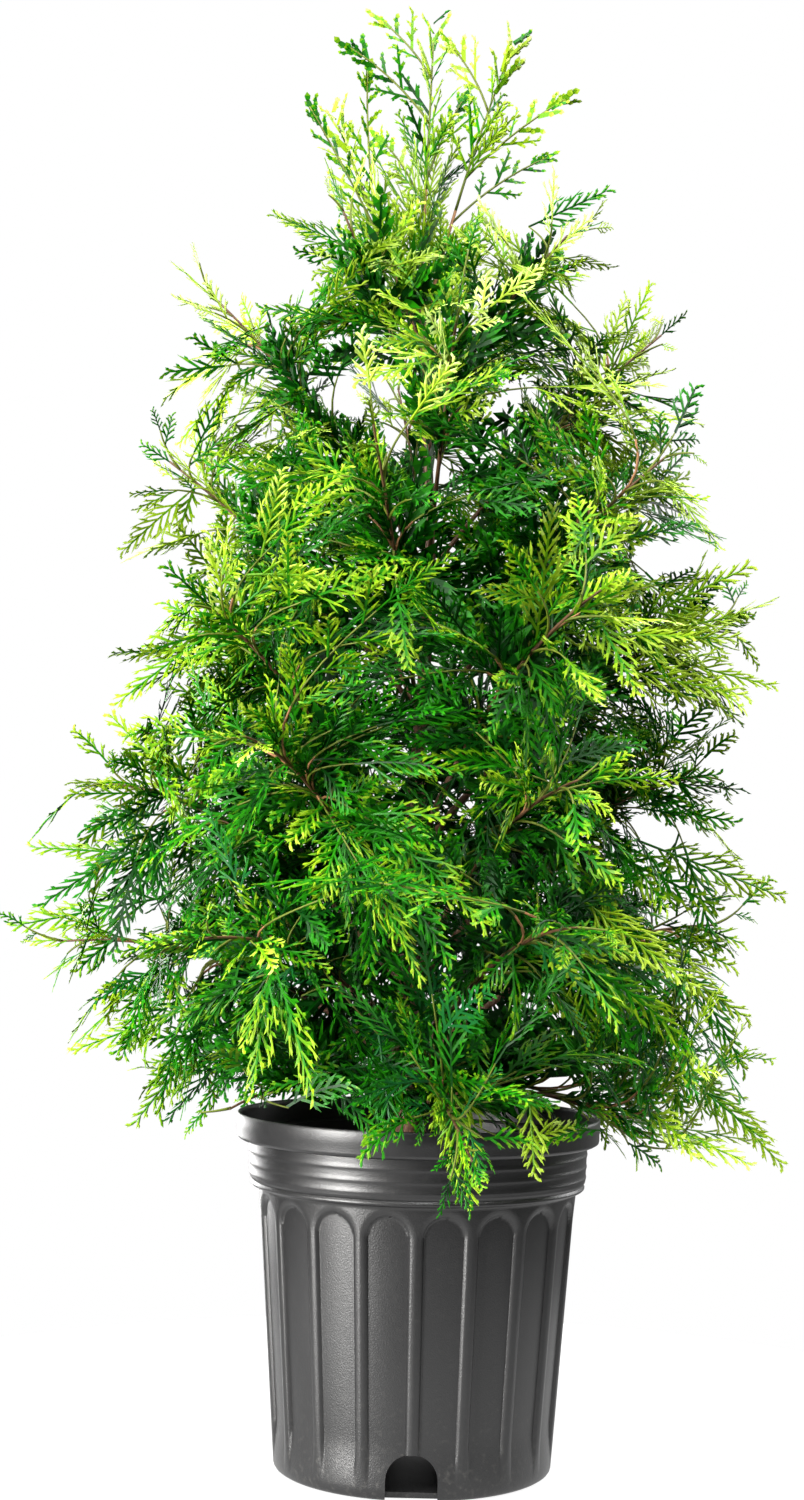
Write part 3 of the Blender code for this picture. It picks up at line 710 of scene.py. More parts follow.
def frames_along(path):
    """The way of a path at each point, and two directions square to it that turn as little as they can."""
    way = unit(np.gradient(path, axis=0))
    guide = np.array([0.0, 1.0, 0.0]) if abs(way[0][1]) < 0.8 else np.array([1.0, 0.0, 0.0])
    side = unit(np.cross(guide, way))
    return way, side, np.cross(way, side)


def circles(side, over, turn):
    """Directions (points, turns, 3) that go round from each side over to the direction square to it."""
    return np.cos(turn)[None, :, None] * side[:, None] + np.sin(turn)[None, :, None] * over[:, None]


def round_tube(path, radii, sides):
    """A tube of circles along a path, with a radius at each point and a pointed tip."""
    way, side, over = frames_along(path)
    rings = path[:, None] + radii[:, None, None] * circles(side, over, around(sides))
    return closed_tube(rings, path[0], path[-1] + way[-1] * radii[-1])


def joined(shapes):
    """Several (points, faces) as one."""
    starts = np.cumsum([0] + [len(points) for points, _ in shapes[:-1]])
    points = np.concatenate([points for points, _ in shapes])
    faces = np.concatenate([faces + start for (_, faces), start in zip(shapes, starts)])
    return points, faces


# Pot and soil


def pot_profile():
    """The pot's skin from the middle of its underside, up the outside, over the lip and down inside.

    Each row is a radius, a height, and how deep a flute may be there, as a share.
    """
    foot = BODY_FOOT_RADIUS - FOOT_ROUNDING
    collar_z = POT_HEIGHT - LIP_HEIGHT - COLLAR_HEIGHT
    lip_z = POT_HEIGHT - LIP_HEIGHT
    rows = [(radius, 0.0, 0.0) for radius in (0.020, 0.045, foot - 0.001)]
    for turn in np.linspace(0, math.pi / 2, 5):
        rows.append((foot + FOOT_ROUNDING * math.sin(turn), FOOT_ROUNDING * (1 - math.cos(turn)), 0.0))
    for z in np.concatenate([np.linspace(*span) for span in WALL_ROWS]):
        radius = between(BODY_FOOT_RADIUS, BODY_TOP_RADIUS, z / collar_z)
        rows.append((radius, z, smooth((z - FLUTE_FOOT_Z) / FLUTE_FADE)))
    rows += [
        (BODY_TOP_RADIUS + 0.0002, collar_z - 0.0008, 0.0),
        (BODY_TOP_RADIUS + 0.0012, collar_z - 0.0002, 0.0),
    ]
    for z in np.linspace(collar_z, lip_z - 0.0006, 36):
        share = (z - collar_z) / COLLAR_HEIGHT
        groove = COLLAR_GROOVE_DEPTH * math.exp(-(((z - COLLAR_GROOVE_Z) / COLLAR_GROOVE_WIDTH) ** 2))
        ribs = sum(math.exp(-(((z - rib) / COLLAR_RIB_WIDTH) ** 2)) for rib in COLLAR_RIBS_Z)
        edge = 0.0008 * math.exp(-(z - collar_z) / 0.0005)
        radius = COLLAR_RADIUS - 0.0008 + 0.0010 * share - groove - edge
        rows.append((radius + bpy.context.scene.thuja_pot.rib_height * ribs, z, 0.0))
    rows += [
        (COLLAR_RADIUS + 0.0006, lip_z - 0.0003, 0.0),
        (RIM_RADIUS - 0.0016, lip_z + 0.0001, 0.0),
        (RIM_RADIUS - 0.0006, lip_z + 0.0007, 0.0),
        (RIM_RADIUS - 0.0003, lip_z + 0.0018, 0.0),
        (RIM_RADIUS - 0.0003, lip_z + 0.0048, 0.0),
        (RIM_RADIUS, lip_z + 0.0056, 0.0),
        (RIM_RADIUS, POT_HEIGHT - 0.0016, 0.0),
    ]
    bead = 0.5 * WALL + 0.0001
    for turn in np.linspace(0.15, 0.85, 5) * math.pi:
        radius = RIM_RADIUS - bead + bead * math.cos(turn)
        rows.append((radius, POT_HEIGHT - bead + bead * math.sin(turn), 0.0))
    inner = RIM_RADIUS - WALL
    rows += [
        (inner, POT_HEIGHT - 0.0020, 0.0),
        (inner, lip_z + WALL + 0.0004, 0.0),
        (inner - 0.0008, lip_z + WALL, 0.0),
        (COLLAR_RADIUS - WALL, lip_z + WALL - 0.0005, 0.0),
        (COLLAR_RADIUS - WALL - 0.0004, collar_z + WALL, 0.0),
        (BODY_TOP_RADIUS - 0.0032, collar_z, 0.0),
        (BODY_FOOT_RADIUS - 0.0032, POT_FLOOR, 0.0),
        (0.030, POT_FLOOR, 0.0),
    ]
    return np.array(rows)


def flute_share(angle, height):
    """How far inside a flute each point lies, from 0 on a rib to 1 on its flat.

    The distance is to an outline of two straight sides, a half circle over them and an open foot. It is
    measured as if the body were as wide everywhere as at its top, so a flute narrows towards the foot.
    """
    pitch = 2 * np.pi / FLUTES
    across = np.abs((angle + 0.5 * pitch) % pitch - 0.5 * pitch) * BODY_TOP_RADIUS
    over = np.maximum(height - FLUTE_SPRING_Z, 0.0)
    distance = np.hypot(across, over) - FLUTE_HALF_WIDTH
    steep = smooth(0.3 + distance / (0.5 * FLUTE_SLOPE))
    gentle = smooth(distance / (1.5 * FLUTE_SLOPE))
    return 1 - 0.7 * steep - 0.3 * gentle


def pot_skin(depth):
    """The pot as one closed skin of rings: radius = profile radius less the flute's depth at that angle."""
    profile = pot_profile()
    angle = around(FLUTES * COLUMNS_PER_FLUTE)
    radius, height, fluted = (profile[:, i][:, None] for i in range(3))
    sunk = depth * fluted * flute_share(angle[None], height)
    radius = radius - sunk
    rings = np.stack([radius * np.cos(angle), radius * np.sin(angle), height + 0 * sunk], -1)
    return closed_tube(rings, np.zeros(3), POT_FLOOR * UP)


def drain_prisms():
    """The round-topped notches through the foot of the wall, as closed prisms that point outwards."""
    spring = DRAIN_TOP_Z - DRAIN_HALF_WIDTH
    turn = np.linspace(0, np.pi, 17)
    across = np.concatenate([DRAIN_HALF_WIDTH * np.cos(turn), [-DRAIN_HALF_WIDTH, DRAIN_HALF_WIDTH]])
    height = np.concatenate([spring + DRAIN_HALF_WIDTH * np.sin(turn), [-POT_FLOOR, -POT_FLOOR]])
    shapes = []
    for number in range(DRAIN_HOLES):
        azimuth = 2 * math.pi * number / DRAIN_HOLES
        out, along = outward(azimuth), outward(azimuth + math.pi / 2)
        face = across[:, None] * along + height[:, None] * UP
        radii = np.array([BODY_FOOT_RADIUS - DRAIN_DEPTH, BODY_FOOT_RADIUS + DRAIN_DEPTH])
        rings = face[None] + radii[:, None, None] * out
        middle = 0.5 * spring * UP
        shapes.append(closed_tube(rings, middle + radii[0] * out, middle + radii[1] * out))
    return joined(shapes)


def build_pot(pot):
    points, faces = pot_skin(pot.flute_depth)
    piece = add_piece("nursery_pot", points, faces, [plastic_finish(pot)])
    cutter = add_object("drain_cutter", plain_mesh("drain_cutter", *drain_prisms()))
    cut = piece.modifiers.new("drain holes", "BOOLEAN")
    cut.operation = "DIFFERENCE"
    cut.solver = "MANIFOLD"
    cut.object = cutter
    bpy.context.view_layer.update()
    graph = bpy.context.evaluated_depsgraph_get()
    piece.data = bpy.data.meshes.new_from_object(piece.evaluated_get(graph))
    piece.modifiers.clear()
    bpy.data.objects.remove(cutter, do_unlink=True)
    piece.data.set_sharp_from_angle(angle=math.radians(50))
    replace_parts(piece, "pot")


def soil_height(x, y, lumps):
    """The soil's surface: highest in the middle, with the tops of round lumps standing out of it.

    Each lump adds the cap of a ball: its height times the root of 1 less the squared share of its radius.
    """
    radius = np.hypot(x, y)
    edge = smooth((radius - SOIL_MIDDLE_RADIUS) / (SOIL_RADIUS - SOIL_MIDDLE_RADIUS))
    height = SOIL_TOP_Z - SOIL_MIDDLE_DROP - SOIL_EDGE_DROP * edge
    for chunk in np.array_split(lumps, 12):
        away = np.hypot(x[..., None] - chunk[:, 0], y[..., None] - chunk[:, 1]) / chunk[:, 2]
        cap = chunk[:, 3] * np.sqrt(np.clip(1 - away**2, 0, None))
        height = np.maximum(height, height + 0.75 * cap.max(-1))
    return np.minimum(height, SOIL_TOP_Z)


def build_soil(pot):
    draw = np.random.default_rng(SEED)
    where = SOIL_RADIUS * np.sqrt(draw.random(SOIL_LUMPS))
    turn = 2 * np.pi * draw.random(SOIL_LUMPS)
    size = draw.uniform(*LUMP_RADII, SOIL_LUMPS)
    lumps = np.stack([where * np.cos(turn), where * np.sin(turn), size, 0.35 * size], 1)
    angle = around(220)
    radius = np.linspace(SOIL_RADIUS - 0.0006, 0.0010, 76)[:, None]
    x, y = radius * np.cos(angle), radius * np.sin(angle)
    top = np.stack([x, y, soil_height(x, y, lumps)], -1)
    foot_z = SOIL_TOP_Z - SOIL_DEPTH
    wall = np.stack([x[0], y[0], np.full(len(angle), foot_z)], -1)
    centre = np.array([0.0, 0.0, top[-1, :, 2].mean()])
    points, faces = closed_tube(np.concatenate([wall[None], top]), foot_z * UP, centre)
    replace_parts(add_piece("soil_surface", points, faces, [soil_finish(pot)]), "soil")
    build_chips(pot, lumps, draw)


def build_chips(pot, lumps, draw):
    """Chips of bark on the soil: small flat six-sided slabs, each turned and tilted its own way."""
    count = pot.chips
    where = (SOIL_RADIUS - 0.005) * np.sqrt(draw.random(count))
    turn = 2 * np.pi * draw.random(count)
    x, y = where * np.cos(turn), where * np.sin(turn)
    z = soil_height(x, y, lumps)
    size = draw.uniform(*CHIP_RADII, count)
    yaw = draw.uniform(0, 2 * np.pi, count)
    tilt, lean = draw.normal(0, 0.25, count), draw.normal(0, 0.25, count)
    corner = around(6)
    ragged = draw.uniform(0.7, 1.15, (count, 6)) * size[:, None]
    across = ragged * np.cos(corner)
    along = 0.5 * ragged * np.sin(corner)
    px = across * np.cos(yaw)[:, None] - along * np.sin(yaw)[:, None]
    py = across * np.sin(yaw)[:, None] + along * np.cos(yaw)[:, None]
    rise = px * tilt[:, None] + py * lean[:, None]
    foot = np.stack([x[:, None] + px, y[:, None] + py, z[:, None] + rise], -1)
    rings = np.stack([foot + off * UP for off in (0.0001, 0.0007)], 1)
    slabs = [closed_tube(ring, ring[0].mean(0), ring[1].mean(0)) for ring in rings]
    points, faces = joined(slabs)
    points[:, 2] = np.minimum(points[:, 2], SOIL_TOP_Z + 0.0012)
    add_piece("soil_chips", points, faces, [chip_finish()], flat=True)


# Trunk and limbs


def trunk_share(z):
    return (z - TRUNK_FOOT_Z) / (TRUNK_TIP_Z - TRUNK_FOOT_Z)


def trunk_point(z):
    """The trunk's centre line, planted a little to one side, with a slow S that starts at the soil."""
    share = trunk_share(z)
    turn = 2 * np.pi * SWAY_TURNS * share
    swell = SWAY * np.minimum(1.0, 3.0 * share)
    return np.stack([TRUNK_FOOT_X - swell * np.sin(turn), swell * np.sin(0.8 * turn), z], -1)


def trunk_radius(z):
    """A taper that is slow at first, plus a root flare that dies away above the soil."""
    share = np.minimum(1.0, trunk_share(z))
    flare = FLARE_RADIUS * np.exp(-(z - TRUNK_FOOT_Z) / FLARE_HEIGHT)
    return TRUNK_RADIUS * (1 - share) ** 0.8 + TRUNK_TIP_RADIUS * share + flare


def clear_of_trunk(z):
    """How far from the trunk's centre line a limb's root lies."""
    low_z = z - BOUGH_RADIUS
    lobe = FLARE_LOBES * math.exp(-(low_z - TRUNK_FOOT_Z) / FLARE_HEIGHT)
    return trunk_radius(low_z) * (1 + lobe) + GAP


def limb_point(limb, t):
    return curve(limb.start, limb.bend, limb.end, np.asarray(t)[..., None])


def limb_way(limb, t):
    return unit((1 - t) * (limb.bend - limb.start) + t * (limb.end - limb.bend))


def ring_limbs():
    """Every limb of every ring: it leaves the trunk steeply, and then climbs or arches over to its tip."""
    draw = random.Random(SEED)
    limbs = []
    for ring in RINGS:
        for number in range(ring.count):
            azimuth = math.radians(ring.first_az + 360 / ring.count * number + draw.uniform(-5, 5))
            leave = trunk_point(ring.leave_z + draw.uniform(-0.006, 0.010))
            out = outward(azimuth)
            start = leave + out * clear_of_trunk(leave[2])
            reach = ring.reach * draw.uniform(0.94, 1.04)
            tip_z = ring.tip_z - ring.fall * out[0] + draw.uniform(-0.010, 0.010)
            end = out * reach + np.array([ring.shift, 0.0, tip_z])
            bend = start + out * BEND_SHARE * reach
            bend[2] = max(end[2], start[2]) + ring.arch * reach
            roll = math.radians(draw.uniform(25, 60)) * (1 if number % 2 else -1)
            name = f"{ring.name}_{number + 1}"
            limbs.append(Limb(name, start, bend, end, azimuth, ring.bough, roll, ring.droop))
    return limbs


def leader_limbs():
    """The leader that carries the trunk on, and the two that rise beside it."""
    limbs = []
    for number, leader in enumerate(LEADERS):
        end, azimuth = np.array(leader.tip), math.radians(leader.azimuth)
        out = outward(azimuth)
        if leader.name == "main":
            start = trunk_point(TRUNK_TIP_Z) + GAP * UP
            bend = 0.6 * start + 0.4 * end
        else:
            leave = trunk_point(leader.leave_z)
            start = leave + out * clear_of_trunk(leave[2])
            bend = start + out * BEND_SHARE * math.hypot(end[0], end[1])
            bend[2] = 0.5 * (start[2] + end[2])
        roll = math.radians(90 + 35 * number)
        limbs.append(Limb(f"leader_{leader.name}", start, bend, end, azimuth, 0.0, roll, 0.0))
    return limbs


def side_way(limb, t, roll):
    """The direction square to the limb that is level at roll 0 and upright at a quarter turn."""
    return unit(tilted(limb_way(limb, t), outward(limb.azimuth + math.pi / 2), roll))


def bark_relief(turn, along, strips, draw):
    """Lifted strips of bark: ridges that follow the wood and wander a little, from -1 to 1."""
    relief = 0.0
    for part in range(3):
        wander = draw.uniform(0.4, 1.1) * np.sin(along * draw.uniform(25, 70) + draw.uniform(0, 6))
        wave = np.sin((strips + 2 * part) * turn + wander * 3 + draw.uniform(0, 6))
        relief = relief + (1 - 2 * np.abs(wave)) * draw.uniform(0.25, 0.45)
    return relief


def build_trunk(wood):
    """The trunk: rings along its S, with root lobes at the soil, bark strips, and a collar at each limb."""
    draw = random.Random(SEED)
    flare = TRUNK_FOOT_Z + np.linspace(0, FLARE_ROWS_HEIGHT, 18)[:-1]
    stem = np.linspace(TRUNK_FOOT_Z + FLARE_ROWS_HEIGHT, TRUNK_TIP_Z, 330)
    z = np.concatenate([flare, stem])
    turn = around(40)
    height = z[:, None]
    lobe = FLARE_LOBES * np.exp(-(height - TRUNK_FOOT_Z) / FLARE_HEIGHT) * np.cos(4 * turn)
    radius = trunk_radius(height) * (1 + lobe)
    radius = radius + wood.relief * np.minimum(1, radius / 0.003) * bark_relief(turn, height, 9, draw)
    for limb in ring_limbs():
        about = np.angle(np.exp(1j * (turn - limb.azimuth))) * radius
        rise = height - limb.start[2]
        collar = np.exp(-(about**2 + (0.6 * rise) ** 2) / LIMB_COLLAR_WIDTH**2)
        radius = radius + LIMB_COLLAR_HEIGHT * collar
    out = np.stack([np.cos(turn), np.sin(turn), 0 * turn], -1)
    rings = trunk_point(z)[:, None] + radius[..., None] * out
    points, faces = closed_tube(rings, trunk_point(z[:1])[0], trunk_point(z[-1:])[0])
    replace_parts(add_piece("trunk_bark", points, faces, [bark_finish(wood)]), "trunk")


def build_boughs(wood):
    """The boughs: tapering tubes with the same bark, thicker where they leave the trunk."""
    draw = random.Random(SEED + 1)
    shapes = []
    for limb in ring_limbs():
        if not limb.bough:
            continue
        t = np.linspace(0.0, limb.bough, 46)
        path = limb_point(limb, t)
        way, side, over = frames_along(path)
        path[0] = path[0] - way[0] * BOUGH_OVERLAP
        share = (t / limb.bough)[:, None]
        turn = around(16)
        swell = BOUGH_SWELL * np.exp(-share / BOUGH_SWELL_SHARE)
        radius = between(BOUGH_RADIUS, STEM_RADIUS, share) + swell
        radius = radius + 0.5 * wood.relief * bark_relief(turn, 0.08 * share, 5, draw)
        rings = path[:, None] + radius[..., None] * circles(side, over, turn)
        shapes.append(closed_tube(rings, path[0], path[-1]))
    points, faces = joined(shapes)
    finish = bpy.data.materials.get("bark_finish") or bark_finish(wood)
    piece = add_piece("bough_bark", points, faces, [finish])
    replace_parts(piece, *[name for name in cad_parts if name.startswith("bough_")])


# Growth of twigs and fronds


def reach_at(z, lean):
    """How far from the pot's axis a tip may be at a height, with lean from -1, left, to 1, right."""
    left, right = np.interp(z, OUTLINE_Z, LEFT_REACH), np.interp(z, OUTLINE_Z, RIGHT_REACH)
    sides = between(left, right, 0.5 + 0.5 * lean)
    return sides * between(DEPTH_SHARE, 1.0, np.abs(lean))


def depth_of(points):
    """How far out points are: 0 on the pot's axis and 1 on the outline."""
    radius = np.hypot(points[..., 0], points[..., 1])
    return radius / reach_at(points[..., 2], points[..., 0] / np.maximum(radius, 1e-6))


def lowest_at(x, y):
    """How low leaves may hang: just over the rim in front, bar the hanging sprays, and lower elsewhere."""
    elsewhere = between(LOWEST_LEFT_Z, LOWEST_RIGHT_Z, smooth((x + 0.04) / 0.08)) + 0.12 * np.maximum(-y, 0.0)
    before_rim = (np.abs(x) < RIM_FRONT_X) & (y < np.where(x < 0.0, RIM_FRONT_LEFT_Y, RIM_FRONT_RIGHT_Y))
    return np.where(before_rim, np.interp(x, LOWEST_X, LOWEST_Z), elsewhere)


def in_gaps(x, y, z):
    """Whether points stand in front of an opening, or behind it, as the photograph looks at them."""
    nearness = VIEW_DISTANCE / (VIEW_DISTANCE + y)
    across = (x * nearness)[:, None] - GAPS[:, 0]
    up = (VIEW_HEIGHT + (z - VIEW_HEIGHT) * nearness)[:, None] - GAPS[:, 1]
    return ((across / GAPS[:, 2]) ** 2 + (up / GAPS[:, 3]) ** 2 < 1.0).any(1)


def free(points, depth=1.0):
    """True if no point is in the pot or an opening, hangs too low, or is further out than the depth."""
    x, y, z = points[:, 0], points[:, 1], points[:, 2]
    radius = np.hypot(x, y)
    in_pot = (z < POT_HEIGHT + POT_CLEARANCE) & (radius < RIM_RADIUS + POT_CLEARANCE)
    in_pot &= (radius > BODY_TOP_RADIUS - 0.004) | (z < SOIL_TOP_Z + 0.001)
    low = z < lowest_at(x, y)
    return not (in_pot | low | in_gaps(x, y, z) | (depth_of(points) > depth)).any()


def frond_kind(length):
    """The kind of frond that is drawn at nearly this length."""
    kinds = [name for name in KINDS if name not in PLAIN_KINDS]
    return min(kinds, key=lambda name: abs(KINDS[name].length - length))


def shade_of(point, draw, spread=0.08):
    """How pale leaves are, from 0 to 1: paler further out and darker inside as painted shade, paler higher
    up, and paler in the pale places, partly as painted light.

    They are darker in the middle of the lower part, also painted shade, and a few sprays anywhere are much
    darker or paler.
    """
    # Paler further out and darker inside: painted shade
    out = float(smooth((float(depth_of(point)) - 0.40) / 0.55))
    up = float(smooth(((point[2] - SHADE_FOOT_Z) / SHADE_HEIGHT - 0.28) / 0.62))
    shade = PAINTED_SHADE_BY_DEPTH * out + SHADE_BY_HEIGHT * up + 0.01
    # Painted shade: darker in the middle of the lower part
    core = math.exp(-((point[0] - CORE_X) ** 2) / CORE_WIDTH**2)
    shade -= 0.08 * core * float(smooth((CORE_TOP_Z - point[2]) / 0.08))
    # Paler near the pale places: partly painted light, partly young growth
    away = ((np.array(PALE_PLACES) - point) ** 2).sum(1).min()
    shade += 0.14 * math.exp(-away / PALE_SPREAD**2) + draw.gauss(0.0, spread)
    chance = draw.random()
    if chance < PALE_CHANCE:
        return shade + 0.12
    return 0.30 * shade if chance > 1 - DARK_CHANCE else shade


def scattered(way, amount, draw):
    return unit(way + amount * np.array([draw.gauss(0, 1), draw.gauss(0, 1), draw.gauss(0, 1)]))


def outer_face(point):
    """Outwards from the pot's axis and a little up."""
    return 0.85 * unit(np.array([point[0], point[1], 0.0])) + 0.35 * UP


def facing_side(way, face, draw):
    """The side of a frond that faces nearly one way, as far as its own way allows."""
    return unit(np.cross(scattered(face, 0.45, draw), way))


def make_frond(root, way, side, length, droop, shade, draw, kind=None):
    """A frond whose sheet is tilted and twisted a little, each its own way."""
    way = scattered(way, 0.06, draw)
    side = tilted(way, side, draw.gauss(0.0, 0.20))
    shade = shade + draw.gauss(0.0, 0.05)
    droop = droop * draw.uniform(0.4, 1.3)
    return Frond(root, way, side, length, droop, draw.gauss(0, 0.24), shade, kind or frond_kind(length))


def twig_path(start, way, end, count=9):
    """A quadratic curve that leaves along a way and ends at a point."""
    bend = start + 0.5 * np.linalg.norm(end - start) * way
    return curve(start, bend, end, np.linspace(0, 1, count)[:, None])


def spray(path, side, end_length, side_length, droop, draw, foot=0.10):
    """A twig along a path with an end frond and side fronds in turn, all near one plane."""
    steps = np.linalg.norm(np.diff(path, axis=0), axis=1)
    along = np.concatenate([[0], np.cumsum(steps)])
    span = along[-1]
    last_way = unit(path[-1] - path[-2])
    shade = shade_of(path[-1] + 0.5 * end_length * last_way, draw)
    twigs = [Twig(path, TWIG_RADIUS, 0.5 * TWIG_RADIUS, "half" if span > BROWN_TWIG else "leafy")]
    fronds = [make_frond(path[-1], last_way, side, end_length, droop, shade, draw)]
    count = max(1, round((1 - foot) * span / SIDE_FROND_STEP))
    hand = draw.choice((-1, 1))
    for number in range(count):
        share = (number + 0.5) / count
        reached = between(foot, 0.97, share) * span
        root, ahead = (at_places(path, along, place) for place in (reached, reached + 0.003))
        way = unit(ahead - root) if np.linalg.norm(ahead - root) > 1e-6 else last_way
        flat = unit(side - way * np.dot(side, way))
        angle = math.radians(draw.uniform(*SIDE_FROND_DEG)) * hand * (1 if number % 2 else -1)
        heading, across = swung(way, flat, angle)
        length = side_length * draw.uniform(0.8, 1.15) * between(0.70, 1.1, share)
        fronds.append(make_frond(root, heading, across, length, droop, shade, draw))
    return twigs, fronds


def leafy_start(limb):
    return max(limb.bough, BARE_SHARE)


def grow_limb(limb, step, draw):
    """The stem of a limb, its side sprays by the rule of the solids at a finer step, and its end fronds."""
    first = leafy_start(limb)
    span = np.linalg.norm(limb.end - limb_point(limb, first))
    stem_t = np.linspace(max(limb.bough - 0.01, 0.0), 0.92, 16)
    twigs = [Twig(limb_point(limb, stem_t), 0.85 * STEM_RADIUS, STEM_TIP_RADIUS, "old")]
    count = max(3, round((LAST_SPRAY - first) / (1 - first) * span / step))
    fronds = []
    for number in range(count):
        share = (number + 0.5) / count
        t = between(first, LAST_SPRAY, share)
        way = limb_way(limb, t)
        lean = math.radians(draw.uniform(-16, 16))
        side = side_way(limb, t, limb.roll + PAIR_TURN * (number // 2) + math.pi * (number % 2) + lean)
        angle = math.radians(between(WIDEST_DEG, NARROWEST_DEG, share))
        heading = unit(way * math.cos(angle) + side * math.sin(angle))
        length = between(LONGEST_SPRAY, SHORTEST_SPRAY, share) * span * draw.uniform(0.85, 1.12)
        root = limb_point(limb, t)
        end = root + 0.45 * length * heading - 0.1 * limb.droop * length * UP
        across = facing_side(heading, outer_face(end), draw)
        size = max(0.55 * length, 0.026)
        more_twigs, more_fronds = spray(
            twig_path(root, unit(way + heading), end, 6), across, size, 0.75 * size, limb.droop, draw, 0.30
        )
        twigs += more_twigs
        fronds += more_fronds
    for t, scatter in END_FRONDS:
        root, aim = limb_point(limb, t), unit(limb.end - limb_point(limb, t))
        side = side_way(limb, t, limb.roll + scatter)
        shade = shade_of(limb.end, draw)
        reach = max(np.linalg.norm(limb.end - root), 0.040)
        fronds.append(make_frond(root, scattered(aim, scatter, draw), side, reach, 0.04, shade, draw))
    return twigs, fronds


def shell_targets(count, draw):
    """Points spread evenly over the outline, by the golden angle, each with its way and its face.

    Tips point down at the skirt, outwards half way up, and ever more upwards above.
    """
    z = np.linspace(*SHELL_Z, 400)
    area = np.cumsum(reach_at(z, 0.0))
    heights = np.interp((np.arange(count) + 0.5) / count, area / area[-1], z)
    targets = []
    for number, height in enumerate(heights):
        azimuth = number * GOLDEN_ANGLE + draw.gauss(0, 0.12)
        out = outward(azimuth)
        level = outward(azimuth + math.pi / 2)
        height = height + draw.gauss(0, 0.006)
        inset = draw.uniform(*(SHELL_INSET if number % 3 or height < DEEPER_FOOT_Z else DEEPER_INSET))
        inset *= between(1.0, 0.92, float(smooth((abs(out[0]) - 0.6) / 0.3)))
        tip = out * reach_at(height, out[0]) * inset + height * UP
        rise = np.interp(height, RISE_Z, RISE)
        way = out * draw.uniform(0.5, 1.1) + level * draw.gauss(0, 0.45) + UP * (rise + draw.gauss(0, 0.35))
        targets.append((tip, unit(way), outer_face(tip)))
    return targets


def edge_targets(draw):
    """Tips on the outline at each of its heights below the leaders, left and right, flat to the front."""
    targets = []
    for z in OUTLINE_Z[1:30]:
        for side in (-1.0, 1.0):
            tip = np.array([side * 0.98 * reach_at(z, side), draw.gauss(0, 0.022), z + draw.gauss(0, 0.003)])
            way = np.array([side, draw.gauss(0, 0.25), np.interp(z, RISE_Z, RISE) + draw.gauss(0, 0.2)])
            targets.append((tip, unit(way), np.array([0.2 * side, -0.95, 0.35])))
    return targets


def carriers(limbs):
    """Where twigs may leave the limbs: a list of limb numbers, with arrays of points and ways."""
    share = np.linspace(0.16, 0.90, 26)
    owner = np.repeat(np.arange(len(limbs)), len(share))
    points = np.concatenate([limb_point(limb, share) for limb in limbs])
    ways = np.concatenate([limb_way(limb, share[:, None]) for limb in limbs])
    return owner, points, ways


def carried(end, way, limbs, places):
    """A twig's path from the handiest limb to its end, and that limb.

    A limb's point costs its distance, more where the twig would turn sharply at either end.
    """
    owner, points, ways = places
    gap = end - points
    distance = np.maximum(np.linalg.norm(gap, axis=1), 1e-6)
    turn = 1 - (gap * ways).sum(1) / distance
    bend = 1 - (gap @ way) / distance
    best = int(np.argmin(distance * (1 + 0.5 * turn + 0.4 * bend) + 0.25 * np.maximum(0.012 - distance, 0)))
    return twig_path(points[best], ways[best], end), limbs[owner[best]]


def grow_shell(limbs, count, draw):
    """Sprays that fill the outline: each is carried to its target by a twig from the handiest limb."""
    places = carriers(limbs)
    grown = []
    for tip, way, face in shell_targets(count, draw) + edge_targets(draw):
        end_length = draw.uniform(*END_FROND_LENGTH) * float(np.interp(tip[2], (0.3, 0.62), (1.0, 0.72)))
        path, limb = carried(tip - end_length * way, way, limbs, places)
        if np.linalg.norm(path[-1] - path[0]) > LONGEST_TWIG or not free(path[-1:]):
            continue
        side = facing_side(way, face, draw)
        grown.append((limb, *spray(path, side, end_length, 0.78 * end_length, max(limb.droop, 0.04), draw)))
    return grown


def grow_placed(limbs, draw):
    """The sprays that are placed one by one, each flat to the front."""
    places = carriers(limbs)
    grown = []
    for placed in PLACED:
        way, tip = unit(np.array(placed.way)), np.array(placed.tip)
        root = tip - placed.length * way
        path, limb = carried(root, way, limbs, places)
        side = tilted(way, np.cross(np.array([0.0, -1.0, 0.15]), way), draw.gauss(0, 0.15))
        twig = Twig(path, TWIG_RADIUS, 0.5 * TWIG_RADIUS, "leafy")
        kind = frond_kind(placed.length)
        frond = Frond(root, way, side, placed.length, 0.0, draw.gauss(0, 0.2), placed.shade, kind)
        grown.append((limb, [twig], [frond]))
    return grown


def grow_inside(limbs, count, draw):
    """Plain dark fronds near the trunk, where little light falls, turned every way."""
    owner, points, ways = carriers(limbs)
    inner = np.flatnonzero((depth_of(points) < INNER_ROOT_DEPTH) & (points[:, 2] < INNER_TOP_Z))
    grown = []
    for _ in range(count):
        chosen = int(inner[draw.randrange(len(inner))])
        way = scattered(ways[chosen] + 0.2 * UP, 0.7, draw)
        side = tilted(way, np.array([way[1], -way[0], 0.01]), draw.uniform(0, math.pi))
        length = draw.uniform(*INNER_LENGTH)
        # A dark green: painted shade inside the plant
        twist, shade = draw.gauss(0, 0.5), draw.uniform(-0.05, 0.12)
        frond = Frond(points[chosen], way, side, length, 0.1, twist, shade, "inner")
        grown.append((limbs[owner[chosen]], frond))
    return grown


def along_path(path, share):
    place = min(share, 0.9999) * (len(path) - 1)
    first = int(place)
    return between(path[first], path[first + 1], place - first), unit(path[first + 1] - path[first])


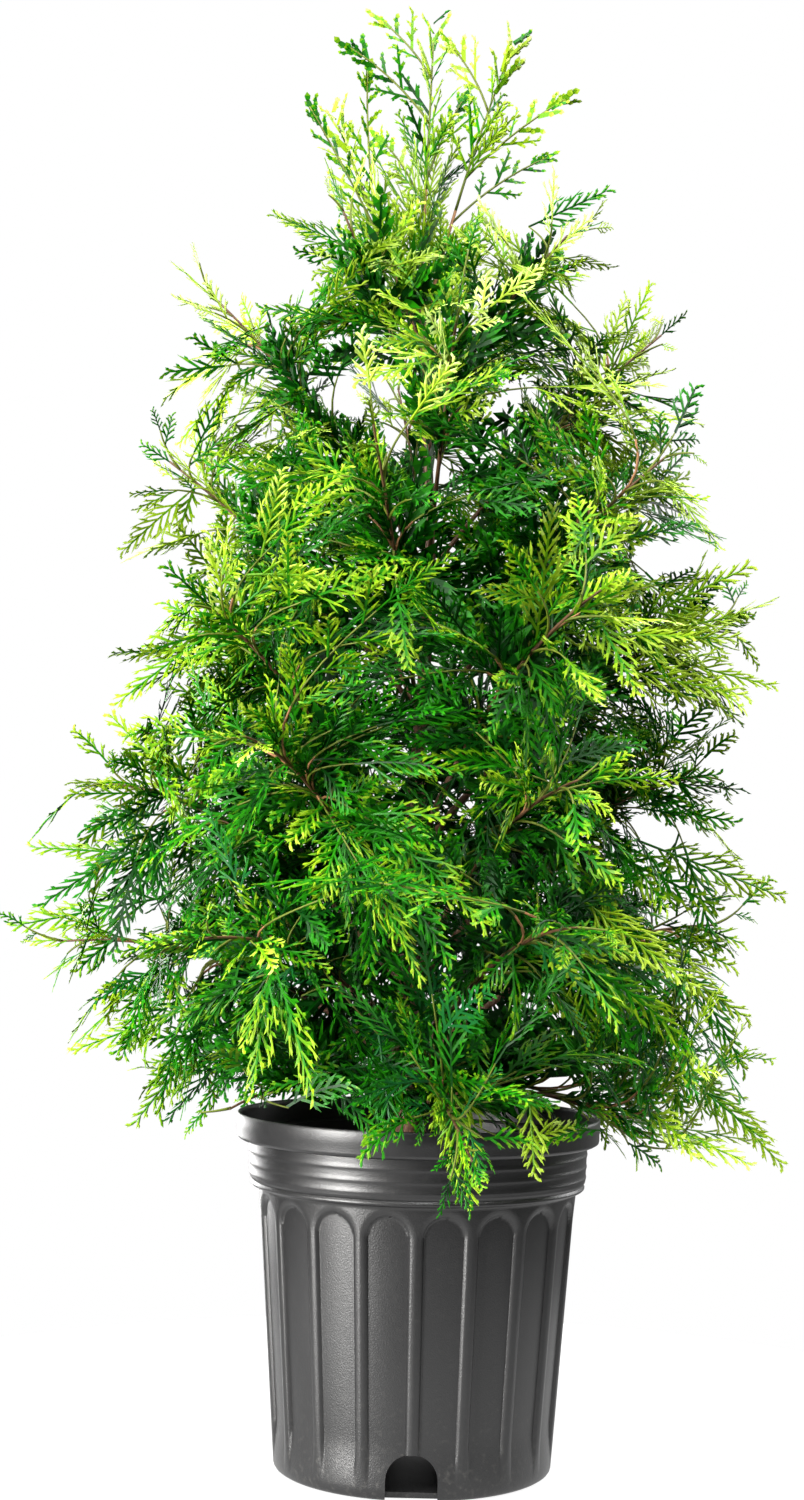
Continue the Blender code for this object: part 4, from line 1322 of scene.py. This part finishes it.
def grow_shoot(path, draw):
    """A thin straight twig, bare below, with short fingers on either side and a tuft of them at its tip."""
    length = np.linalg.norm(np.diff(path, axis=0), axis=1).sum()
    twigs = [Twig(path, 0.0006, 0.0004, "green")]
    fronds = []
    count = max(4, round(length / SHOOT_STEP))
    level = tilted(unit(path[-1] - path[0]), np.array([1.0, 0.2 * draw.gauss(0, 1), 0.0]), draw.gauss(0, 0.4))
    shade = 0.38 + draw.gauss(0, 0.14)
    for number in range(count):
        share = between(0.25, 0.98, (number + 0.5) / count)
        root, way = along_path(path, share)
        flat = tilted(way, level, draw.gauss(0, 0.3))
        turn = math.radians(draw.uniform(26, 40)) * (1 if number % 2 else -1)
        heading, side = swung(way, flat, turn)
        lower = share < 0.5
        size = draw.uniform(0.014, 0.022) if lower else draw.uniform(0.008, 0.013)
        fronds.append(make_frond(root, heading, side, size, 0.0, shade, draw, "shoot" if lower else "finger"))
    way = unit(path[-1] - path[-2])
    flat = tilted(way, level, 0.0)
    for turn, size in TUFT:
        heading, side = swung(way, flat, turn)
        fronds.append(make_frond(path[-2], heading, side, size, 0.0, shade, draw, "finger"))
    return twigs, fronds


def grow_leader(limb, draw):
    """A leader: its stem, then single fronds that get shorter and sparser towards its tip."""
    path = limb_point(limb, np.linspace(0, 1, 14))
    twigs = [Twig(path[:6], 0.0009, 0.0007, "stem"), Twig(path[5:-1], 0.0007, 0.0004, "green")]
    fronds = []
    count = round(np.linalg.norm(limb.end - limb.start) / LEADER_STEP)
    for number in range(count):
        share = (number + 0.5) / count
        side = side_way(limb, share, limb.roll + PAIR_TURN * (number // 2) + math.pi * (number % 2))
        angle = math.radians(draw.uniform(26, 42))
        way = limb_way(limb, share)
        heading = unit(way * math.cos(angle) + side * math.sin(angle))
        flat = unit(way - heading * np.dot(way, heading))
        size = between(LEADER_FROND, LEADER_TIP_FROND, min(1.0, share / 0.88)) * draw.uniform(0.8, 1.15)
        root = limb_point(limb, share)
        shade = shade_of(root + 0.5 * size * heading, draw)
        kind = "finger" if share > 0.80 else "shoot" if share > 0.50 else None
        across = 0.6 * flat + facing_side(heading, outer_face(root), draw)
        fronds.append(make_frond(root, heading, across, size, 0.0, shade, draw, kind))
    return twigs, fronds


def grow_plant(foliage):
    """Every twig and frond, listed under the name of its ring of limbs."""
    draw = random.Random(SEED + 2)
    grown = {ring.name: ([], []) for ring in RINGS}
    grown["leader"] = ([], [])
    limbs, leaders = ring_limbs(), leader_limbs()

    def add(limb, twigs, fronds):
        name = limb.name.split("_")[0]
        grown[name][0].extend(twigs)
        grown[name][1].extend(fronds)

    for limb in limbs:
        add(limb, *grow_limb(limb, foliage.spray_step, draw))
    shell = grow_shell(limbs + leaders, foliage.shell_sprays, draw)
    for limb, twigs, fronds in shell + grow_placed(limbs + leaders, draw):
        add(limb, twigs, fronds)
    for limb, frond in grow_inside(limbs, foliage.inner_fronds, draw):
        add(limb, [], [frond])
    for limb in leaders:
        add(limb, *grow_leader(limb, draw))
    for shoot in SHOOTS:
        limb = next(limb for limb in limbs + leaders if limb.name == shoot.carrier)
        start, tip = limb_point(limb, shoot.share), np.array(shoot.tip)
        path = twig_path(start, unit(0.35 * limb_way(limb, shoot.share) + unit(tip - start)), tip)
        add(limb, *grow_shoot(path, draw))
    return grown


# The pattern of a frond


Pattern = namedtuple("Pattern", "points faces tone length")


def turned(way, angle):
    """Flat directions turned left by an angle each."""
    cos, sin = np.cos(angle), np.sin(angle)
    return np.stack([way[..., 0] * cos - way[..., 1] * sin, way[..., 0] * sin + way[..., 1] * cos], -1)


def ribs(lines, half_widths):
    """Three-sided tapering ribs on flat centre lines (ribs, points, 2): flat below, with a ridge on top.

    Each ends in a point, the last of its line, and starts in a flat three-cornered face.
    """
    count, rings = lines.shape[0], lines.shape[1] - 1
    across = turned(unit(np.gradient(lines, axis=1)), np.pi / 2) * half_widths[..., None]
    flat = np.zeros((count, rings + 1, 1))
    left = np.concatenate([lines + across, flat], -1)
    right = np.concatenate([lines - across, flat], -1)
    ridge = np.concatenate([lines, 0.7 * half_widths[..., None]], -1)
    corners = np.stack([left, right, ridge], 2)[:, :rings].reshape(count, rings * 3, 3)
    tips = np.concatenate([lines[:, -1], np.zeros((count, 1))], -1)[:, None]
    points = np.concatenate([corners, tips], 1)
    last = 3 * (rings - 1)
    faces = [np.array([[0, 1, 2]]), np.array([[last + (i + 1) % 3, last + i, 3 * rings] for i in range(3)])]
    if rings > 1:
        faces.append(triangles(tube_quads(rings, 3)[:, ::-1]))
    faces = np.concatenate(faces)
    faces = (faces[None] + points.shape[1] * np.arange(count)[:, None, None]).reshape(-1, 3)
    return points.reshape(-1, 3), faces


def scales(roots, ways, lengths, half_widths):
    """Slim scaly tips: four faces each, a pointed blade with a ridge, widest past its middle."""
    across = turned(ways, np.pi / 2) * half_widths[:, None]
    wide = roots + 0.62 * lengths[:, None] * ways
    zero = np.zeros((len(roots), 1))
    rise = 0.5 * half_widths[:, None]
    root = np.concatenate([roots, rise], 1)
    left = np.concatenate([wide + across, zero], 1)
    right = np.concatenate([wide - across, zero], 1)
    tip = np.concatenate([roots + lengths[:, None] * ways, rise], 1)
    points = np.stack([root, left, right, tip], 1)
    faces = np.array([[0, 2, 3], [0, 3, 1], [0, 1, 2], [1, 3, 2]])
    faces = (faces[None] + 4 * np.arange(len(roots))[:, None, None]).reshape(-1, 3)
    return points.reshape(-1, 3), faces


def frond_pattern(kind, width, draw):
    """One frond laid flat: x along its rachis, y across it and z off it, with a tone for each face.

    Branchlets leave the rachis in turn on either side and bend forwards. Their reach rises to a quarter
    of the way and falls to the tip. Short scaly tips hug each branchlet in turn, longer on its front side.
    """
    leafy = 0.97 - kind.foot
    count = max(4, int(leafy * kind.length / kind.step))
    share = kind.foot + leafy * (np.arange(count) + 0.5) / count
    hand = np.where(np.arange(count) % 2, 1.0, -1.0)
    profile = np.minimum(0.55 + 2.0 * share, 1.0 - 1.05 * (share - 0.22))
    reach = kind.reach * kind.length * profile * draw.uniform(0.66, 1.16, count)
    reach = np.maximum(reach, 0.0028)
    angle = hand * np.radians(between(38, 24, share) + draw.uniform(-6, 6, count))
    roots = np.stack([share * kind.length, 0 * share], 1)
    heading = np.stack([np.cos(angle), np.sin(angle)], 1)
    ahead = np.array([1.0, 0.0]) - heading * heading[:, :1]
    tilt = draw.normal(0, 0.15, count)

    def spot(owner, q):
        """Points on the branchlets: straight out, plus a pull forwards as the square of the share."""
        q = q[..., None]
        return roots[owner] + reach[owner][..., None] * (q * heading[owner] + 0.14 * q**2 * ahead[owner])

    every = np.arange(count)[:, None]
    lines = spot(np.repeat(every, 3, 1), np.repeat([[0.0, 0.5, 1.0]], count, 0))
    widths = width * kind.rib * 0.5 * np.array([0.75, 1.05, 0.75])[None] * np.ones((count, 1))
    rib_points, rib_faces = ribs(lines, widths)
    owner = np.repeat(np.arange(count), len(rib_points) // count)
    rib_points[:, 2] += tilt[owner] * np.linalg.norm(rib_points[:, :2] - roots[owner], axis=1)

    spine = np.stack([np.linspace(0, kind.length, 6), np.zeros(6)], -1)[None]
    spine_points, spine_faces = ribs(spine, width * 0.5 * kind.spine * np.linspace(1.0, 0.8, 6)[None])
    parts = [(spine_points, spine_faces), (rib_points, rib_faces)]
    rib_tone = np.array([0.0] + [0.14] * 3 + [-0.01] * 6)
    tones = [np.full(len(spine_faces), -0.04), (0.18 * share[:, None] + rib_tone).ravel()]
    if kind.tip_step:
        number = np.maximum(1, (0.90 * reach / kind.tip_step).astype(int))
        owner = np.repeat(np.arange(count), number)
        order = np.arange(len(owner)) - np.repeat(np.cumsum(number) - number, number)
        q = 0.16 + 0.74 * (order + 0.4) / number[owner]
        way = unit(heading[owner] + 0.40 * q[:, None] * ahead[owner])
        turn = np.where((order + owner) % 2, 1.0, -1.0)
        front = 1.0 - 0.20 * turn * hand[owner]
        tip_way = turned(way, turn * np.radians(draw.uniform(18, 32, len(owner))))
        length = np.clip(0.55 * reach[owner] * (1.15 - q), 0.0038, 0.0095) * front
        length = length * draw.uniform(0.85, 1.2, len(owner))
        tip_points, tip_faces = scales(
            spot(owner, q), tip_way, length, 0.5 * width * draw.uniform(0.85, 1.1, len(owner))
        )
        each = np.repeat(np.arange(len(owner)), 4)
        tip_points[:, 2] += tilt[owner][each] * np.linalg.norm(tip_points[:, :2] - roots[owner][each], axis=1)
        parts.append((tip_points, tip_faces))
        tones.append(np.repeat(-0.05 + 0.15 * share[owner] + 0.31 * q + draw.normal(0, 0.03, len(owner)), 4))
    points, faces = joined(parts)
    return Pattern(points, faces, np.concatenate(tones), kind.length)


def laid(pattern, frond, sag):
    """The frond's points in space: its pattern scaled to its length and laid on a sheet.

    The sheet follows the rachis, sinks by the droop as the square of the share, twists evenly about the
    rachis, and sags on either side of it as the square of the distance.
    """
    scale = frond.length / pattern.length
    along, across, off = (scale * pattern.points[:, i] for i in range(3))
    share = along / frond.length
    normal = np.cross(frond.way, frond.side)
    twist = (frond.twist * share)[:, None]
    side = np.cos(twist) * frond.side + np.sin(twist) * normal
    over = np.cos(twist) * normal - np.sin(twist) * frond.side
    fall = frond.droop * frond.length * share**2 + sag * across**2
    sheet = frond.root + along[:, None] * frond.way + across[:, None] * side
    return sheet + off[:, None] * over - fall[:, None] * UP


def lay_fronds(foliage):
    """Every twig, and every frond laid in space, under the name of its ring of limbs.

    A frond that would leave the outline or touch the pot is tried shorter, and left out in the end.
    """
    draw = np.random.default_rng(SEED)
    patterns = {
        name: [frond_pattern(kind, foliage.branchlet_width, draw) for _ in range(VARIANTS)]
        for name, kind in KINDS.items()
    }
    depths = {"inner": INNER_DEPTH, "shoot": SHOOT_DEPTH, "finger": SHOOT_DEPTH}
    plant = {}
    for name, (twigs, fronds) in grow_plant(foliage).items():
        kept = []
        for frond in fronds:
            for size in SIZES_TRIED:
                tried = frond._replace(length=size * frond.length)
                if frond.kind not in PLAIN_KINDS:
                    tried = tried._replace(kind=frond_kind(tried.length))
                pattern = patterns[tried.kind][int(draw.integers(VARIANTS))]
                points = laid(pattern, tried, foliage.sag)
                if free(points, depths.get(frond.kind, 1.0)):
                    kept.append(Leaves(tried, pattern, points))
                    break
        plant[name] = (twigs, kept)
    return plant


def build_sprays(foliage):
    """The leaves, one piece for each ring of limbs, with a plain green dealt to each face by its frond."""
    draw = np.random.default_rng(SEED)
    finishes = leaf_finishes(foliage)
    for name, (_, kept) in lay_fronds(foliage).items():
        looks = []
        for frond, pattern, _ in kept:
            shade = np.clip((frond.shade + pattern.tone) * SHADES, 0, SHADES - 1).astype(int)
            if frond.root[2] < BLUE_TOP_Z and draw.random() < BLUE_CHANCE:
                shade = np.where(shade < 4, SHADES + shade // 2, shade)
            looks.append(shade)
        looks = np.concatenate(looks)
        points, faces = joined([(leaves.points, leaves.pattern.faces) for leaves in kept])
        piece = add_piece(f"sprays_{name}", points, faces, finishes, looks, flat=True)
        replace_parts(piece, *[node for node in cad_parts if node.startswith(f"foliage_{name}_")])


def tree_of(points):
    """Points in a tree that finds the nearest of them."""
    tree = KDTree(len(points))
    for number, point in enumerate(points):
        tree.insert(point, number)
    tree.balance()
    return tree


def shortened(twigs, borne):
    """The twigs that bear any of the points in a tree, each up to the last that it bears."""
    made = []
    for twig in twigs:
        steps = np.arange(len(twig.path))
        places = np.linspace(0, steps[-1], 120)
        spots = at_places(twig.path, steps, places)
        used = [number for number, spot in enumerate(spots) if borne.find(spot)[2] < BEARING]
        if used and used[-1] > 5:
            places = np.linspace(0, places[used[-1]], len(steps))
            made.append(twig._replace(path=at_places(twig.path, steps, places)))
    return made


def twig_tubes(twig):
    """A twig as a round tube with the number of its look, or as a brown one and a green one end to end."""
    radii = np.linspace(twig.first_radius, twig.last_radius, len(twig.path))
    if twig.look != "half":
        return [(round_tube(twig.path, radii, 6 if twig.look == "old" else 4), TWIG_LOOKS[twig.look])]
    middle = len(radii) // 2
    lower = round_tube(twig.path[: middle + 1], radii[: middle + 1], 4)
    upper = round_tube(twig.path[middle:], radii[middle:], 4)
    return [(lower, TWIG_LOOKS["stem"]), (upper, TWIG_LOOKS["green"])]


def build_twigs(foliage, wood):
    """The twigs, joined in one piece below the shoulder and one above it.

    Side twigs end at the last frond that they bear, and stems at the last frond or side twig.
    """
    finishes = twig_finishes(wood, foliage)
    plant = lay_fronds(foliage)
    roots = [leaves.frond.root for _, kept in plant.values() for leaves in kept]
    borne = tree_of(roots)
    kept_twigs = {}
    for name, (twigs, _) in plant.items():
        kept_twigs[name] = shortened([twig for twig in twigs if twig.look in ("half", "leafy")], borne)
    borne = tree_of(roots + [twig.path[0] for twigs in kept_twigs.values() for twig in twigs])
    for name, (twigs, _) in plant.items():
        kept_twigs[name] += shortened([twig for twig in twigs if twig.look == "old"], borne)
        kept_twigs[name] += [twig for twig in twigs if twig.look in ("stem", "green")]
    upper_rings = [name for name in plant if name not in LOWER_RINGS]
    for title, names in (("twigs_lower", LOWER_RINGS), ("twigs_upper", upper_rings)):
        tubes = [tube for name in names for twig in kept_twigs[name] for tube in twig_tubes(twig)]
        points, faces = joined([shape for shape, _ in tubes])
        looks = np.concatenate([np.full(len(shape[1]), look) for shape, look in tubes])
        add_piece(title, points, faces, finishes, looks)


# Stage


def build_stage(stage):
    """A pale round floor, white surroundings, seven soft lights, and the camera of the photograph."""
    world = bpy.data.worlds.new("white_surroundings")
    world.use_nodes = True
    bpy.context.scene.world = world
    bpy.context.scene.view_settings.view_transform = "Standard"
    light_surroundings(world.node_tree, stage)

    angle = around(96)
    radius = np.linspace(0.1, stage.floor_radius, 4)[:, None]
    top = np.stack([radius * np.cos(angle), radius * np.sin(angle), -FLOOR_GAP + 0 * radius * angle], -1)
    rings = np.concatenate([top, top[::-1] - FLOOR_THICKNESS * UP])[::-1]
    mesh = plain_mesh("floor", *closed_tube(rings, -(FLOOR_GAP + FLOOR_THICKNESS) * UP, -FLOOR_GAP * UP))
    finish = Finish("floor_finish", Base_Color=stage.floor, Roughness=0.8, Specular_IOR_Level=0.0)
    finish.feed("Emission Color", (1.0, 1.0, 1.0))
    finish.feed("Emission Strength", stage.floor_glow)
    mesh.materials.append(finish.material)
    add_object("floor", mesh)

    for light in LIGHTS:
        add_light(light)
    add_camera(stage)


def light_surroundings(tree, stage):
    """Surroundings that the camera sees as white, and that light the plant from above and behind it."""
    shading = Shading(tree)
    way = shading.node("TexCoord", {}, {}, 0)
    height = shading.node("VectorMath", {"operation": "DOT_PRODUCT"}, {0: way, 1: SKY_WAY}, 1)
    glow = shading.masked(height, -0.7, 0.8) * 0.75 + 0.25
    seen = shading.node("LightPath", {}, {}, 0)
    strength = seen + (1.0 - seen) * glow * stage.surround
    join(tree, tree.nodes["Background"].inputs["Color"], (1.0, 1.0, 1.0))
    join(tree, tree.nodes["Background"].inputs["Strength"], strength)


def add_light(light):
    """A soft light that faces the middle of the plant."""
    data = bpy.data.lights.new(light.name, "AREA")
    data.shape = "RECTANGLE"
    data.size, data.size_y = light.size
    data.energy = light.power
    data.color = light.colour
    lamp = add_object(light.name, data)
    lamp.location = light.place
    lamp.rotation_euler = (Vector(LIT_POINT) - Vector(light.place)).to_track_quat("-Z", "Y").to_euler()


def add_camera(stage):
    """The photograph's view: low, tipped up and a little to the left, and rolled by just over a degree."""
    camera = bpy.data.cameras.new("camera")
    camera.lens = stage.lens
    camera.sensor_width = 36.0
    viewer = add_object("camera", camera)
    viewer.location = (0.0, -stage.distance, VIEW_HEIGHT)
    viewer.rotation_mode = "QUATERNION"
    pan = Quaternion((0, 0, 1), math.radians(PAN_DEG))
    pitch = Quaternion((1, 0, 0), math.radians(90 + TIP_DEG))
    viewer.rotation_quaternion = pan @ pitch @ Quaternion((0, 0, 1), math.radians(ROLL_DEG))
    bpy.context.scene.camera = viewer


# Operators


class THUJA_OT_trunk(bpy.types.Operator):
    """Adds the trunk with its bark."""

    bl_idname = "thuja.trunk"
    bl_label = "Add trunk"

    def execute(self, context):
        build_trunk(context.scene.thuja_wood)
        return {"FINISHED"}


class THUJA_OT_boughs(bpy.types.Operator):
    """Adds the boughs with their bark."""

    bl_idname = "thuja.boughs"
    bl_label = "Add boughs"

    def execute(self, context):
        build_boughs(context.scene.thuja_wood)
        return {"FINISHED"}


class THUJA_OT_twigs(bpy.types.Operator):
    """Adds the stems and twigs that carry the sprays."""

    bl_idname = "thuja.twigs"
    bl_label = "Add twigs"

    def execute(self, context):
        build_twigs(context.scene.thuja_foliage, context.scene.thuja_wood)
        return {"FINISHED"}


class THUJA_OT_sprays(bpy.types.Operator):
    """Adds the sprays of scale leaves."""

    bl_idname = "thuja.sprays"
    bl_label = "Add sprays"

    def execute(self, context):
        build_sprays(context.scene.thuja_foliage)
        return {"FINISHED"}


class THUJA_OT_pot(bpy.types.Operator):
    """Adds the fluted nursery pot."""

    bl_idname = "thuja.pot"
    bl_label = "Add pot"

    def execute(self, context):
        build_pot(context.scene.thuja_pot)
        return {"FINISHED"}


class THUJA_OT_soil(bpy.types.Operator):
    """Adds the soil and the chips on it."""

    bl_idname = "thuja.soil"
    bl_label = "Add soil"

    def execute(self, context):
        build_soil(context.scene.thuja_pot)
        return {"FINISHED"}


class THUJA_OT_stage(bpy.types.Operator):
    """Adds the floor, the lights and the camera."""

    bl_idname = "thuja.stage"
    bl_label = "Add stage"

    def execute(self, context):
        build_stage(context.scene.thuja_stage)
        return {"FINISHED"}


OPERATORS = (
    THUJA_OT_pot,
    THUJA_OT_soil,
    THUJA_OT_trunk,
    THUJA_OT_boughs,
    THUJA_OT_twigs,
    THUJA_OT_sprays,
    THUJA_OT_stage,
)
SETTINGS = {
    "thuja_pot": ThujaPot,
    "thuja_foliage": ThujaFoliage,
    "thuja_wood": ThujaWood,
    "thuja_stage": ThujaStage,
}


class THUJA_PT_panel(bpy.types.Panel):
    """Lists the settings and a button for each group of pieces."""

    bl_idname = "THUJA_PT_panel"
    bl_label = "Potted thuja"
    bl_space_type = "VIEW_3D"
    bl_region_type = "UI"
    bl_category = "Thuja"

    def draw(self, context):
        for name in SETTINGS:
            box = self.layout.box()
            settings = getattr(context.scene, name)
            for field in settings.bl_rna.properties.keys():
                if field not in ("rna_type", "name"):
                    box.prop(settings, field)
        for operator in OPERATORS:
            self.layout.operator(operator.bl_idname)


def register():
    for group in (*SETTINGS.values(), *OPERATORS, THUJA_PT_panel):
        bpy.utils.register_class(group)
    for name, group in SETTINGS.items():
        setattr(bpy.types.Scene, name, bpy.props.PointerProperty(type=group))


def unregister():
    for name in SETTINGS:
        delattr(bpy.types.Scene, name)
    for group in reversed((*SETTINGS.values(), *OPERATORS, THUJA_PT_panel)):
        bpy.utils.unregister_class(group)


def main():
    register()
    bpy.ops.thuja.pot()
    bpy.ops.thuja.soil()
    bpy.ops.thuja.trunk()
    bpy.ops.thuja.boughs()
    bpy.ops.thuja.twigs()
    bpy.ops.thuja.sprays()
    bpy.ops.thuja.stage()


if __name__ == "__main__":
    main()
